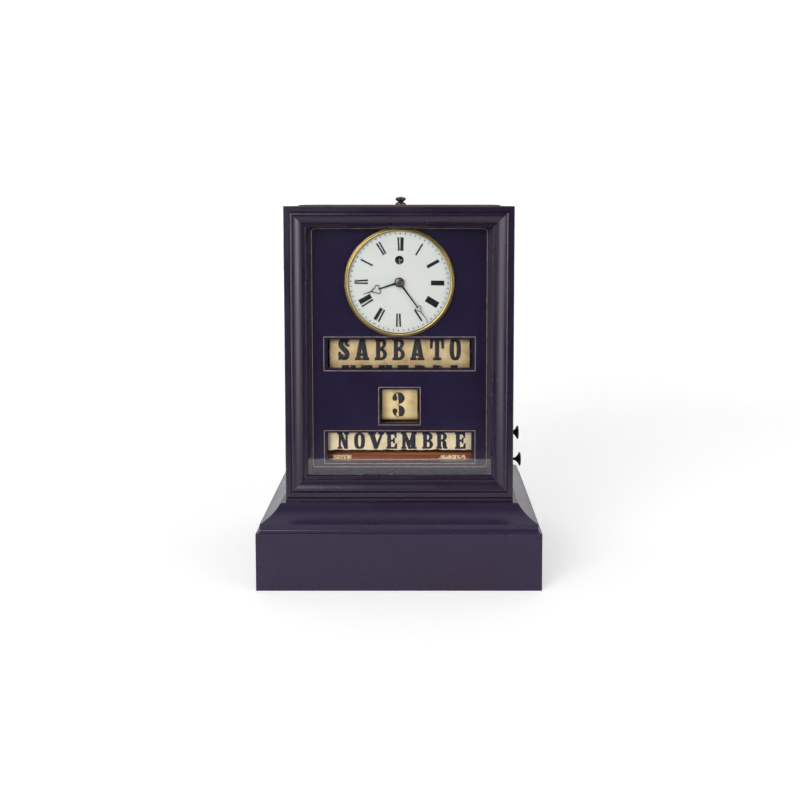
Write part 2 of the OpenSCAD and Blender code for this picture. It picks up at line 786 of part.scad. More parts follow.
module winding_arbor() {
    color("silver") {
        bar_y(barrel_at, plate_front - 2.4, rear_back, pivot_r * 2);
        bar_y(barrel_at, plate_back + 2.2, plate_back + 9.8, 3);
        slab(dial_rim_y + 1.4, plate_front - 2.4 - dial_rim_y - 1.4) translate(barrel_at)
            square([square_w * 0.7, square_w * 0.7], center = true);
    }
}

module winding_ratchet() {
    color("silver") difference() {
        slab(plate_front - 1.9, 1.5) translate(barrel_at) ratchet(24, 6.4, 0.9);
        bar_y(barrel_at, plate_front - 3, plate_front + 1, pivot_r * 2);
    }
}

module winding_click() {
    pivot = barrel_at + [9.2, 5.2];
    a = 0;
    tip = barrel_at + 6.15 * [cos(a), sin(a)];
    color("silver") difference() {
        slab(plate_front - 1.8, 1.2) {
            translate(pivot) circle(r = 1.9);
            polygon([tip + [0.12, 0.3], tip + [1.1, -0.5], pivot + [1.5, -1.1], pivot + [-1.6, 0.9]]);
        }
        bar_y(pivot, plate_front - 3, plate_front + 1, 1 + running);
    }
}

// Going train

module intermediate_wheel() {
    wheel_and_pinion(inter_at, plate_back + inter_wheel_in, inter_teeth, great_m, heading(inter_at, centre),
                     plate_back + inter_pinion_in, pinion_12, great_m, heading(inter_at, barrel_at),
                     plate_front + 0.2, rear_back - 0.2);
}

module centre_wheel() {
    color("silver") bar_y(centre, minute_y - 1, plate_back + 0.4, centre_r);
    wheel_and_pinion(centre, plate_back + centre_wheel_in, wheel_96, centre_m, heading(centre, third_at),
                     plate_back + centre_pinion_in, pinion_12, great_m, heading(centre, inter_at),
                     rear_front - 1, rear_back - 0.2);
}

module third_wheel() {
    wheel_and_pinion(third_at, plate_back + third_wheel_in, wheel_96, third_m, heading(third_at, escape_at),
                     plate_back + third_pinion_in, pinion_8, centre_m, heading(third_at, centre),
                     plate_front + 0.2, rear_back - 0.2);
}

module escape_wheel() {
    y = rear_back + 1.6;
    pitch = 360 / escape_teeth;
    color("goldenrod") slab(y, 0.9) translate(escape_at) difference() {
        rotate(90 + pitch / 4) polygon([for (i = [0:escape_teeth - 1]) each [
            escape_r * [cos(pitch * i), sin(pitch * i)],
            (escape_r - 1.1) * [cos(pitch * (i + 0.3)), sin(pitch * (i + 0.3))],
            (escape_r - 1.1) * [cos(pitch * (i + 0.8)), sin(pitch * (i + 0.8))]]]);
        crossings(2.4, 5.4, 4, 1);
    }
    color("silver") {
        slab(plate_back + escape_pinion_in, 3) translate(escape_at)
            gear(pinion_8, third_m, heading(escape_at, third_at), true);
        bar_y(escape_at, plate_back + 0.2, cock_y - 0.2, 0.62);
        bar_y(escape_at, plate_front + 0.2, cock_y + cock_t - 0.2, pivot_r * 0.6);
    }
}

module pallets() {
    y = rear_back + 1.5;
    nib_r = escape_r + pallet_gap;
    reach = [nib_r * sin(pallet_half), escape_at.y + nib_r * cos(pallet_half) - pallet_at.y];
    color("silver") {
        slab(y, 1.1) translate(pallet_at) {
            circle(r = 1.6);
            for (s = [-1, 1]) polygon([
                [0, 1.6], [s * (reach.x + 0.9), 0.5], [s * (reach.x + 0.35), reach.y],
                [s * (reach.x - 0.25), reach.y + 0.1], [s * (reach.x - 0.6), -0.9], [0, -1]]);
        }
        bar_y(pallet_at, rear_front + 0.2, pendulum_y + 2.4, pivot_r);
        bar_y(pallet_at, rear_back + 1.2, cock_y - 0.4, 1.2);
    }
}

module escapement_cock() {
    feet = [centre + [0, 2.2], centre + [0, -32.6]];
    color("goldenrod") difference() {
        union() {
            slab(cock_y, cock_t) {
                translate([-4, feet[1].y]) square([8, feet[0].y - feet[1].y]);
                for (f = feet) translate(f) circle(r = 4);
            }
            for (f = feet) bar_y(f, rear_back, cock_y + eps, 2);
        }
        bar_y(pallet_at, cock_y - 1, cock_y + cock_t + 1, pivot_r + running);
        bar_y(escape_at, cock_y - 1, cock_y + cock_t + 1, pivot_r * 0.6 + running);
    }
}

module pendulum_rod() {
    foot = pallet_at.y - pendulum_len - bob_r - 7;
    color("silver") difference() {
        union() {
            translate([0, pendulum_y, foot]) cylinder(h = pallet_at.y - foot - 2, r = 0.9);
            bar_y(pallet_at, pendulum_y - 1.1, pendulum_y + 1.1, 2.6);
        }
        bar_y(pallet_at, pendulum_y - 2, pendulum_y + 2, pivot_r);
    }
}

module pendulum_bob() {
    z = pallet_at.y - pendulum_len;
    color("gold") difference() {
        translate([0, pendulum_y, z]) rotate([90, 0, 0]) rotate_extrude() polygon(concat(
            [[0, -bob_t / 2]], [for (i = [-5:2:5]) [bob_r * sqrt(1 - i * i / 36), bob_t / 12 * i]],
            [[0, bob_t / 2]]));
        translate([0, pendulum_y, z - bob_r - 1]) cylinder(h = 2 * bob_r + 2, r = 0.9);
    }
}

module rating_nut() {
    z = pallet_at.y - pendulum_len - bob_r;
    color("goldenrod") difference() {
        translate([0, pendulum_y, z - 3.2]) cylinder(h = 3.2, r = 3.4);
        translate([0, pendulum_y, z - 5]) cylinder(h = 8, r = 0.9);
    }
}

// Calendar rollers

module cheek(side) {
    x = side > 0 ? cheek_x : -cheek_out;
    top = day_z + 27;
    foot = lower_month_z - 10;
    holes = [
        [day_y, day_z, day_arbor_r + running],
        [guide_y, upper_guide_z, guide_r],
        [guide_y, lower_guide_z, guide_r],
        [date_spool_y, upper_spool_z, date_arbor_r + running],
        [date_spool_y, lower_spool_z, date_arbor_r + running],
        [month_y, upper_month_z, month_arbor_r + running],
        [month_y, lower_month_z, month_arbor_r + running]];
    difference() {
        translate([x, panel_back, foot]) cube([cheek_t, day_y + 12 - panel_back, top - foot]);
        for (h = holes) bar_x([h[0], h[1]], x - 1, x + cheek_t + 1, h[2]);
    }
}

module calendar_cheeks() {
    color("#4a3020") {
        cheek(-1);
        cheek(1);
        for (z = lug_zs) difference() {
            translate([cheek_out - eps, rod_y_at - 4, z - lug_t / 2])
                cube([rod_x_at - cheek_out + 4, 8, lug_t]);
            translate([rod_x_at, rod_y_at, z - lug_t]) cylinder(h = 2 * lug_t, r = rod_r + running);
        }
    }
}

module day_drum() {
    color("tan") difference() {
        bar_x([day_y, day_z], -day_len / 2, day_len / 2, day_r);
        bar_x([day_y, day_z], -day_len, day_len, day_arbor_r);
    }
}

// Star wheel; a notch points forwards
module star(at) {
    translate([star_x, at.x, at.y]) rotate([90, 0, 90]) linear_extrude(star_t)
        polygon([for (i = [0:star_teeth - 1])
            let (a = 180 + 360 * i / star_teeth, h = 180 / star_teeth) each [
            star_r * 0.62 * [cos(a), sin(a)], star_r * [cos(a + h - 3), sin(a + h - 3)],
            star_r * [cos(a + h + 3), sin(a + h + 3)]]]);
}

module day_arbor() {
    at = [day_y, day_z];
    color("silver") {
        bar_x(at, -cheek_out - 2, star_x + star_t + 1, day_arbor_r);
        star(at);
    }
}

module detent_springs() {
    color("steelblue") for (at = [[day_y, day_z], [date_spool_y, upper_spool_z]]) {
        tip = at.x - star_r * 0.62 - 0.5;
        translate([star_x, 0, 0]) rotate([90, 0, 90]) linear_extrude(star_t) polygon([
            [tip, at.y], [tip - 2.4, at.y + 1.4], [tip - 2.4, at.y + 13], [tip - 2.9, at.y + 13],
            [tip - 2.9, at.y - 1.4], [tip - 2.4, at.y - 1.4]]);
        translate([cheek_out, tip - 4.4, at.y + 13 - eps]) cube([star_x + star_t - cheek_out, 3.4, 4]);
    }
}

module date_guides() {
    color("tan") for (z = [upper_guide_z, lower_guide_z])
        bar_x([guide_y, z], -cheek_out, cheek_out, guide_r);
}

module date_spool(z, with_star) {
    at = [date_spool_y, z];
    half = date_band_w / 2;
    color("tan") {
        bar_x(at, -half, half, date_roll_r);
        for (x = [-half - 1.6, half]) bar_x(at, x, x + 1.6, date_flange_r);
        bar_x(at, -cheek_out - 1, with_star ? star_x + star_t + 1 : cheek_out + 1, date_arbor_r);
    }
    if (with_star) color("silver") star(at);
}

module upper_date_spool() date_spool(upper_spool_z, true);
module lower_date_spool() date_spool(lower_spool_z, false);

// The linen band's way from the upper spool over the two rods to the lower spool
module date_band() {
    up_g = [guide_y, upper_guide_z];
    lo_g = [guide_y, lower_guide_z];
    up_s = [date_spool_y, upper_spool_z];
    lo_s = [date_spool_y, lower_spool_z];
    rg = guide_r + guide_gap;
    rs = date_roll_r + band_slack;
    a_up = touch(up_g, rg, up_s, rs, 1);
    a_lo = touch(lo_g, rg, lo_s, -rs - band_t, -1);
    lo_dir = [cos(a_lo), sin(a_lo)];
    inner = concat([up_s + rs * [cos(a_up), sin(a_up)]], arc(up_g, rg, a_up, 180, 8),
                   arc(lo_g, rg, 180, 360 + a_lo, 8), [lo_s - (rs + band_t) * lo_dir]);
    outer = concat([up_s + (rs + band_t) * [cos(a_up), sin(a_up)]], arc(up_g, rg + band_t, a_up, 180, 8),
                   arc(lo_g, rg + band_t, 180, 360 + a_lo, 8), [lo_s - rs * lo_dir]);
    n = len(inner) - 1;
    color("wheat") translate([-date_band_w / 2, 0, 0]) rotate([90, 0, 90]) linear_extrude(date_band_w)
        polygon(concat(inner, [for (i = [n:-1:0]) outer[i]]));
}

module month_spool(z, r) {
    at = [month_y, z];
    color("#7a4a30") difference() {
        bar_x(at, -month_len / 2, month_len / 2, r);
        bar_x(at, -month_len / 2 - 1, month_len / 2 + 1, month_arbor_r);
    }
}

module upper_month_spool() month_spool(upper_month_z, month_roll_r);
module lower_month_spool() month_spool(lower_month_z, month_core_r);

// A thin rod with a trumpet-shaped head
module month_knob(z, out) {
    rim = 1.4;
    flare = 4.6;
    x0 = cheek_out + 1;
    len = x0 + case_w / 2 + out;
    color("#1d1a1c") translate([-x0, month_y, z]) rotate([0, 90, 0]) rotate_extrude() polygon(concat(
        [[0, 0], [month_arbor_r, 0]],
        [for (i = [0:6]) [month_arbor_r + (side_knob_r - 0.5 - month_arbor_r) * pow(i / 6, 2.2),
                          len - rim - flare * (1 - i / 6)]],
        [[side_knob_r, len - rim + 0.3], [side_knob_r, len - 0.4], [side_knob_r - 0.4, len], [0, len]]));
}

module upper_month_knob() month_knob(upper_month_z, upper_knob_out);
module lower_month_knob() month_knob(lower_month_z, lower_knob_out);

module month_band() {
    r = month_roll_r + band_slack;
    y = month_y - r - band_t;
    color("wheat") translate([-month_band_w / 2, 0, 0]) rotate([90, 0, 90]) linear_extrude(month_band_w)
        polygon(concat(
            arc([month_y, upper_month_z], r, 130, 180, 6),
            [[y + band_t, upper_month_z - month_flap_h], [y, upper_month_z - month_flap_h]],
            arc([month_y, upper_month_z], r + band_t, 180, 130, 6)));
}

// Daily drive from the movement to the rollers

module trip_lever() {
    tail = calendar_at + [pin_orbit + pin_r + 0.6, -0.5];
    color("silver") difference() {
        slab(trip_y, trip_t) {
            translate(trip_at) circle(r = 3);
            polygon([tail + [0, 1.2], tail + [0, -1.2], trip_at + [-1, -2.4], trip_at + [-1, 2.4]]);
            polygon([trip_at + [1, -2], [rod_x_at + 1.5, trip_at.y - 1.6], [rod_x_at + 1.5, trip_at.y + 1.2],
                     trip_at + [1, 2]]);
        }
        bar_y(trip_at, trip_y - 1, trip_y + trip_t + 1, pivot_r + running);
    }
}

module drive_rod() {
    top = trip_at.y + 1.5;
    foot = lug_zs[0] - lug_t;
    color("silver") {
        translate([rod_x_at, rod_y_at, foot]) cylinder(h = top + 1.4 - foot, r = rod_r);
        translate([rod_x_at - 2, trip_y, top]) cube([4, rod_y_at - trip_y + 2, 1.4]);
        for (at = [[day_y, day_z - 12], [date_spool_y, upper_spool_z - 12]])
            translate([star_x, rod_y_at - 2, at.y])
                cube([rod_x_at - star_x + 2, at.x - star_r - 0.8 - rod_y_at + 2, 3]);
    }
}

plinth();
base_moulding();
case_floor();
case_left_side();
case_right_side();
case_top();
dial_panel();
lid();
lid_knob();
back_door();
back_door_knob();
door_frame();
door_glass();
glazing_beads();
door_catch();
case_hinge_leaves();
door_hinge_leaves();
back_hinge_leaves();
hinge_pins();
dial_plate();
enamel_dial();
dial_bezel();
minute_hand();
cannon_pinion();
hour_hand();
hour_wheel();
minute_wheel();
calendar_wheel();
front_plate();
back_plate();
plate_pillars();
barrel();
mainspring();
winding_arbor();
winding_ratchet();
winding_click();
intermediate_wheel();
centre_wheel();
third_wheel();
escape_wheel();
pallets();
pendulum_rod();
pendulum_bob();
rating_nut();
escapement_cock();
calendar_cheeks();
day_drum();
day_arbor();
detent_springs();
date_guides();
upper_date_spool();
lower_date_spool();
date_band();
upper_month_spool();
lower_month_spool();
upper_month_knob();
lower_month_knob();
month_band();
trip_lever();
drive_rod();
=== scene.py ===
import math
import bpy
from mathutils import Matrix, Vector, noise


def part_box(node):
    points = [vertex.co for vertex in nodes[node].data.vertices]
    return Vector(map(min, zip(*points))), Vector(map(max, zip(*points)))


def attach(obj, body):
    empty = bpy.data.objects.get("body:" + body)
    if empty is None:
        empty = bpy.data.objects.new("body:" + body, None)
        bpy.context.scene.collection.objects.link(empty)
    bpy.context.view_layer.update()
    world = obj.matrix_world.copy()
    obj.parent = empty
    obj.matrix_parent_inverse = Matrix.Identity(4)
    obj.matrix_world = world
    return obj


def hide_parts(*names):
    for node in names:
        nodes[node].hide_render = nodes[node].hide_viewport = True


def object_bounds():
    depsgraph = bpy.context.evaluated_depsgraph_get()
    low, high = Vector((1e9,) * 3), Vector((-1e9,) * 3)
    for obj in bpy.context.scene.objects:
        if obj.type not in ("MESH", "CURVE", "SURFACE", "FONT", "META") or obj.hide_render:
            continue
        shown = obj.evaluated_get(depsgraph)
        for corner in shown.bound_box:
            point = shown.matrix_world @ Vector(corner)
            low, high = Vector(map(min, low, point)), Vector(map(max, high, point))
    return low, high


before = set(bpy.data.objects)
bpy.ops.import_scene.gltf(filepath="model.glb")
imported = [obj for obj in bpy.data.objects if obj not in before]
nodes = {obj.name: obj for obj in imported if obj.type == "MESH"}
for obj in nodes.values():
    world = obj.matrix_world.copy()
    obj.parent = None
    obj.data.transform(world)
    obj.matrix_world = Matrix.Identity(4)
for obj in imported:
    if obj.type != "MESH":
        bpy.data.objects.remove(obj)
cadLow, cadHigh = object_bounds()
mm = 0.001


# Small helpers

def pickOnly(*pieces):
    bpy.ops.object.select_all(action="DESELECT")
    for piece in pieces:
        piece.select_set(True)
    bpy.context.view_layer.objects.active = pieces[0]


def applyPlace(piece):  # the object ends at the origin with its place in its mesh
    pickOnly(piece)
    bpy.ops.object.transform_apply(location=True, rotation=True, scale=True)


def applyModifiers(piece):
    pickOnly(piece)
    for modifier in list(piece.modifiers):
        bpy.ops.object.modifier_apply(modifier=modifier.name)


def joinAs(name, pieces):
    pickOnly(*pieces)
    if len(pieces) > 1:
        bpy.ops.object.join()
    joined = bpy.context.view_layer.objects.active
    joined.name = joined.data.name = name
    applyPlace(joined)
    return joined


def selectOnly(piece, elements, wanted):  # before editing; elements are the mesh's edges or faces
    mesh = piece.data
    for element in (*mesh.vertices, *mesh.edges, *mesh.polygons):
        element.select = False
    for element in elements:
        element.select = wanted(element)


def startEditing(piece, selectAll=False):
    pickOnly(piece)
    bpy.ops.object.mode_set(mode="EDIT")
    if selectAll:
        bpy.ops.mesh.select_all(action="SELECT")


def stopEditing():
    bpy.ops.object.mode_set(mode="OBJECT")


def copyPiece(piece, move):  # a copy with its own mesh, moved by this matrix
    copy = piece.copy()
    copy.data = piece.data.copy()
    bpy.context.scene.collection.objects.link(copy)
    copy.matrix_world = move @ piece.matrix_world
    return copy


def addGrid(middle, low, width, tall, meshes):  # upright, in metres
    bpy.ops.mesh.primitive_grid_add(x_subdivisions=meshes[0], y_subdivisions=meshes[1], size=1,
                                    location=(middle, 0, low + tall / 2), rotation=(math.pi / 2, 0, 0))
    bpy.context.object.scale = (width, tall, 1)
    applyPlace(bpy.context.object)
    return bpy.context.object


def halfAndMiddle(name):  # of a node's box, in metres
    low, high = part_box(name)
    return (high - low) / 2, (high + low) / 2


def wave(x, y, z):  # smooth random waves, the same on every run, one for each unit of x, y and z
    return noise.noise(Vector((x, y, z)))


def dress(piece, material, body):
    piece.data.materials.clear()
    piece.data.materials.append(material)
    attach(piece, body)


# Camera: level with the lid, 0.95 m in front, as the photograph was taken

camera = {
    "place": (0.01586, -0.94508, 0.320),  # metres
    "tilt": 4.522,  # degrees down
    "lens": 47.25,  # mm
    "shift": (-0.0228, -0.14375),
}


def addCamera(values):
    bpy.ops.object.camera_add(location=values["place"], rotation=(math.radians(90 - values["tilt"]), 0, 0))
    made = bpy.context.object
    made.data.sensor_width = 36
    made.data.lens = values["lens"]
    made.data.shift_x, made.data.shift_y = values["shift"]
    made.data.clip_start = 0.01
    bpy.context.scene.camera = made


addCamera(camera)
bpy.context.scene.view_settings.view_transform = "Standard"
print("camera placed")


# Material helpers: they take numbers, colour codes or sockets, and most give back a socket

def srgb(code):  # "#rrggbb" to linear red, green, blue, alpha
    parts = [int(code[i:i + 2], 16) / 255 for i in (1, 3, 5)]
    return (*[c / 12.92 if c <= 0.04045 else ((c + 0.055) / 1.055) ** 2.4 for c in parts], 1)


def setInput(tree, socket, value):
    if isinstance(value, bpy.types.NodeSocket):
        tree.links.new(value, socket)
    else:
        socket.default_value = srgb(value) if isinstance(value, str) else value


def newMaterial(name):
    material = bpy.data.materials.new(name)
    material.use_nodes = True
    return material, material.node_tree


def surface(material, **values):  # fills in the shader, such as its Base_Color
    tree = material.node_tree
    shader = tree.nodes["Principled BSDF"]
    for key, value in values.items():
        setInput(tree, shader.inputs[key.replace("_", " ")], value)
    return material


def addNode(tree, kind, inputs=None, **settings):
    node = tree.nodes.new("ShaderNode" + kind)
    for key, value in settings.items():
        setattr(node, key, value)
    for key, value in (inputs or {}).items():
        setInput(tree, node.inputs[key], value)
    return node


def maths(tree, operation, *values):
    return addNode(tree, "Math", dict(enumerate(values)), operation=operation).outputs[0]


def vectorMaths(tree, operation, *values):
    node = addNode(tree, "VectorMath", dict(enumerate(values)), operation=operation)
    return node.outputs["Value" if operation in ("LENGTH", "DOT_PRODUCT") else "Vector"]


def spread(tree, value, low, high, start=0.0, end=1.0):  # low to high become start to end
    return addNode(tree, "MapRange", {"Value": value, "From Min": low, "From Max": high, "To Min": start,
                                      "To Max": end}).outputs["Result"]


def blend(tree, factor, below, over):
    return addNode(tree, "Mix", {"Factor": factor, 6: below, 7: over}, data_type="RGBA").outputs[2]


def colours(tree, value, *stops):
    node = addNode(tree, "ValToRGB", {"Fac": value})
    elements = node.color_ramp.elements
    while len(elements) < len(stops):
        elements.new(0.5)
    for element, (at, colour) in zip(elements, stops):
        element.position = at
        element.color = srgb(colour)
    return node.outputs["Color"]


def place(tree):
    return addNode(tree, "TexCoord").outputs["Object"]


def separate(tree, vector):
    return addNode(tree, "SeparateXYZ", {"Vector": vector}).outputs


def fromMiddle(tree):  # distance to the left or the right of the clock's middle
    return maths(tree, "ABSOLUTE", separate(tree, place(tree))["X"])


def fromAxis(tree, middle):  # distance from an axis that runs front to back through this point
    off = vectorMaths(tree, "SUBTRACT", place(tree), middle)
    return vectorMaths(tree, "LENGTH", vectorMaths(tree, "MULTIPLY", off, (1, 0, 1)))


def fibres(tree, vector, detail, distortion=0.0, scale=1.0):  # noise in coordinates stretched along grain
    return addNode(tree, "TexNoise", {"Vector": vector, "Scale": scale, "Detail": detail,
                                      "Distortion": distortion}).outputs["Fac"]


def cloud(tree, size, detail):  # blotches of about this size in mm
    return fibres(tree, place(tree), detail, scale=1 / (size * mm))


def specks(tree, cell, edge, core, most):  # one round speck in each cell; its edge and core are shares of it
    spots = addNode(tree, "TexVoronoi", {"Vector": place(tree), "Scale": 1 / (cell * mm)})
    return spread(tree, spots.outputs["Distance"], edge, core, 0, most)


def relief(tree, height, distance, strength):  # distance in mm
    return addNode(tree, "Bump", {"Height": height, "Distance": distance * mm,
                                  "Strength": strength}).outputs["Normal"]


# Coordinates stretched along one axis, for grain: one unit is one grain width across
def grainPlace(tree, axis, across, along):
    scale = [1 / (across * mm)] * 3
    scale["XYZ".index(axis)] = 1 / (along * mm)
    return addNode(tree, "Mapping", {"Vector": place(tree), "Scale": scale}).outputs["Vector"]


# Grain that turns at a mitre: rails run along the first axis, and the rest along the second
def mitredPlace(tree, axes, halves, centres, across, along):
    split = separate(tree, place(tree))
    depths = []
    for axis, half, centre in zip(axes, halves, centres):
        size = maths(tree, "ABSOLUTE", maths(tree, "SUBTRACT", split[axis], centre * mm))
        depths.append(maths(tree, "SUBTRACT", half * mm, size))
    isRail = maths(tree, "GREATER_THAN", *depths)
    rail, stile = (grainPlace(tree, axis, across, along) for axis in axes)
    chosen = addNode(tree, "Mix", {"Factor": isRail, "A": stile, "B": rail}, data_type="VECTOR")
    return chosen.outputs["Result"]


def straight(axis):
    return lambda tree, across, along: grainPlace(tree, axis, across, along)


def mitred(axes, halves, centres):
    return lambda tree, across, along: mitredPlace(tree, axes, halves, centres, across, along)


# 1 on an edge worn by hands and dusters, 0 elsewhere
def edgeWear(tree, radius, patch, most):
    soft = addNode(tree, "Bevel", {"Radius": radius * mm}, samples=4).outputs["Normal"]
    flat = addNode(tree, "NewGeometry").outputs["Normal"]
    edge = spread(tree, vectorMaths(tree, "DOT_PRODUCT", soft, flat), 0.99, 0.88)
    return maths(tree, "MULTIPLY", edge, spread(tree, cloud(tree, patch, 4), 0.44, 0.66, 0, most))


# Materials

# Ebonised pearwood, French polished: violet black, a little browner where the stain has faded, grain
# filled so that it barely shows, an even deep shine with a few dust specks, paler on worn edges
def ebonisedWood(name, grain, darkest="#1d1127", lighter="#231731", shine=0.45):
    material, tree = newMaterial(name)
    fibre = fibres(tree, grain(tree, 1.4, 60), 3)
    faded = spread(tree, fibres(tree, grain(tree, 26, 120), 2), 0.5, 0.8, 0, 0.5)
    worn = edgeWear(tree, radius=0.3, patch=9, most=0.5)
    body = blend(tree, faded, colours(tree, fibre, (0.3, darkest), (0.75, lighter)), "#2b1728")
    dusty = blend(tree, specks(tree, 24, 0.02, 0.012, 0.3), blend(tree, worn, body, "#5c4f5e"), "#8d8790")
    polish = spread(tree, cloud(tree, 30, 2), 0.3, 0.75, 0.25, 0.33)
    return surface(material, Base_Color=dusty, Roughness=maths(tree, "MULTIPLY_ADD", worn, 0.4, polish),
                   Specular_IOR_Level=shine, Coat_Weight=0.12, Coat_Roughness=0.12,
                   Normal=relief(tree, fibre, 0.002, 0.3))


panelLitMargin = (74.6, 75.2)  # where the paler strip outside the gold line begins and is full, in mm: painted light that lifts the shade the door frame casts there


# Lacquered panel: deep blue black, brush polished, with a faint cloud, hair scratches and a paler margin,
# which is painted light lifting the shade the door frame casts outside the gold line
def panelLacquer():
    material, tree = newMaterial("lacquered_panel")
    patch = cloud(tree, 60, 2)
    body = colours(tree, patch, (0.3, "#1f1431"), (0.7, "#241d3b"))
    # painted light: the margin outside the gold line is made paler where the door frame shades it
    litMargin = spread(tree, fromMiddle(tree), panelLitMargin[0] * mm, panelLitMargin[1] * mm)
    edged = blend(tree, litMargin, body, "#443950")
    hair = spread(tree, fibres(tree, grainPlace(tree, "X", 0.8, 45), 2, 0.6), 0.7, 0.76, 0, 0.1)
    return surface(material, Specular_IOR_Level=0.5, Base_Color=blend(tree, hair, edged, "#5a5266"),
                   Roughness=spread(tree, patch, 0, 1, 0.14, 0.2))


# Plain timber, waxed: long streaks of lighter and darker grain with dark pores
def waxedWood(name, axis, dark, light, streak, rough, across=1.6):
    material, tree = newMaterial(name)
    rings = fibres(tree, grainPlace(tree, axis, across * 4, 160), 5, 0.8)
    pores = fibres(tree, grainPlace(tree, axis, across / 4, 9), 2)
    body = colours(tree, rings, (0.36, dark), (0.52, light), (0.68, streak))
    return surface(material, Base_Color=blend(tree, spread(tree, pores, 0.62, 0.7, 0, 0.55), body, "#1a100c"),
                   Roughness=rough, Normal=relief(tree, pores, -0.06, 0.6))


# Turned ebony: black, burnished on the lathe, with a fine grain
def turnedEbony():
    material, tree = newMaterial("turned_ebony")
    streak = cloud(tree, 1.2, 4)
    return surface(material, Base_Color=colours(tree, streak, (0.35, "#0f0e11"), (0.75, "#2a2526")),
                   Roughness=0.28, Coat_Weight=0.2, Normal=relief(tree, streak, 0.03, 0.4))


# Brass, filed and polished, then lacquered: yellow metal with browner tarnish in patches
def agedBrass(name, colour, tarnish, rough, most=0.5):
    material, tree = newMaterial(name)
    patch = cloud(tree, 7, 6)
    filed = fibres(tree, grainPlace(tree, "X", 0.25, 6), 2)
    return surface(material, Metallic=1.0,
                   Base_Color=blend(tree, spread(tree, patch, 0.48, 0.75, 0, most), colour, tarnish),
                   Roughness=spread(tree, patch, 0, 1, rough - 0.06, rough + 0.16),
                   Normal=relief(tree, filed, 0.004, 0.5))


# Brass spun and turned on the lathe, once gilt, coloured in rings by radius: bright on the two beads as
# painted highlight, tan and dull outside them and brown in the groove between and along the inner edge,
# partly where polish never reached and partly painted shade
def turnedGilding(name, middle, rings):
    material, tree = newMaterial(name)
    low, top = rings[0][0], rings[-1][0]
    along = spread(tree, fromAxis(tree, middle), low * mm, top * mm)
    # rings of colour by radius: painted highlights on the beads, painted shade in the groove and along the
    # inner edge
    turned = colours(tree, along, *[((radius - low) / (top - low), colour) for radius, colour in rings])
    dull = spread(tree, cloud(tree, 16, 3), 0.45, 0.75, 0, 0.4)
    return surface(material, Metallic=1.0, Roughness=0.3, Base_Color=blend(tree, dull, turned, "#8d734c"))


# Steel, ground and polished, or heated to a dark blue, with small dull spots
def steel(name, colour, spot, rough):
    material, tree = newMaterial(name)
    patch = cloud(tree, 3, 5)
    return surface(material, Metallic=1.0, Base_Color=colours(tree, patch, (0.45, colour), (0.8, spot)),
                   Roughness=spread(tree, patch, 0, 1, rough - 0.05, rough + 0.15))


# Two metals in one piece: a brass wheel on its steel arbor, or a blued hand with a browned boss
def arborMetal(name, middle, outer="#c9a45c", inner="#77726e", reach=1.9, rough=0.3):
    material, tree = newMaterial(name)
    out = spread(tree, fromAxis(tree, middle), reach * mm, (reach + 0.2) * mm)
    return surface(material, Metallic=1.0, Roughness=rough, Base_Color=blend(tree, out, inner, outer))


# Vitreous enamel on copper: cool white, glassy, with a slight wave and a few grey pin specks
def firedEnamel():
    material, tree = newMaterial("vitreous_enamel")
    ripple = cloud(tree, 18, 3)
    body = colours(tree, ripple, (0.3, "#e0e3df"), (0.7, "#e7e6e3"))
    return surface(material, Base_Color=blend(tree, specks(tree, 6, 0.03, 0.015, 0.5), body, "#8f8f8c"),
                   Roughness=0.18, Coat_Weight=0.3, Coat_Roughness=0.05,
                   Normal=relief(tree, ripple, 0.25, 0.3))


# Ink: fired on the dial, or printed on paper where it has rubbed off in flecks
def ink(name, colour, under, rubbed, rough):
    material, tree = newMaterial(name)
    bare = spread(tree, cloud(tree, 0.9, 5), 0.5, 0.72, 0, rubbed)
    return surface(material, Base_Color=blend(tree, bare, colour, under), Roughness=rough)


# Rag paper pasted on linen, yellowed: tan with brown stains, darker towards its ends, fine fibres
def agedPaper(name, pale, tan, stain, halfWidth):
    material, tree = newMaterial(name)
    body = colours(tree, cloud(tree, 9, 6), (0.3, pale), (0.55, tan), (0.8, stain))
    end = spread(tree, fromMiddle(tree), (halfWidth - 7) * mm, halfWidth * mm, 0, 0.25)
    return surface(material, Base_Color=blend(tree, end, body, "#6d5234"), Roughness=0.85,
                   Normal=relief(tree, cloud(tree, 0.7, 4), 0.06, 0.5))


# Old clear glass, 2 mm thick; lamps shine through it on to what is behind
def windowGlass():
    material, tree = newMaterial("old_glass")
    clear = addNode(tree, "BsdfTransparent").outputs[0]
    path = addNode(tree, "LightPath").outputs
    through = maths(tree, "MAXIMUM", path["Is Shadow Ray"], path["Is Diffuse Ray"])
    glass = tree.nodes["Principled BSDF"].outputs[0]
    both = addNode(tree, "MixShader", {"Fac": through, 1: glass, 2: clear})
    tree.links.new(both.outputs[0], tree.nodes["Material Output"].inputs["Surface"])
    return surface(material, Base_Color="#f4f7f5", Roughness=0.02, Transmission_Weight=1.0, IOR=1.5,
                   Normal=relief(tree, cloud(tree, 45, 1), 0.1, 0.2))


# Gold line laid by hand in size, dulled and rubbed through to the lacquer in places
def wornGilding():
    material, tree = newMaterial("worn_gold_line")
    rub = colours(tree, cloud(tree, 5, 6), (0.32, "#b09886"), (0.58, "#917b6d"), (0.85, "#54454a"))
    return surface(material, Base_Color=rub, Metallic=0.2, Roughness=0.5)


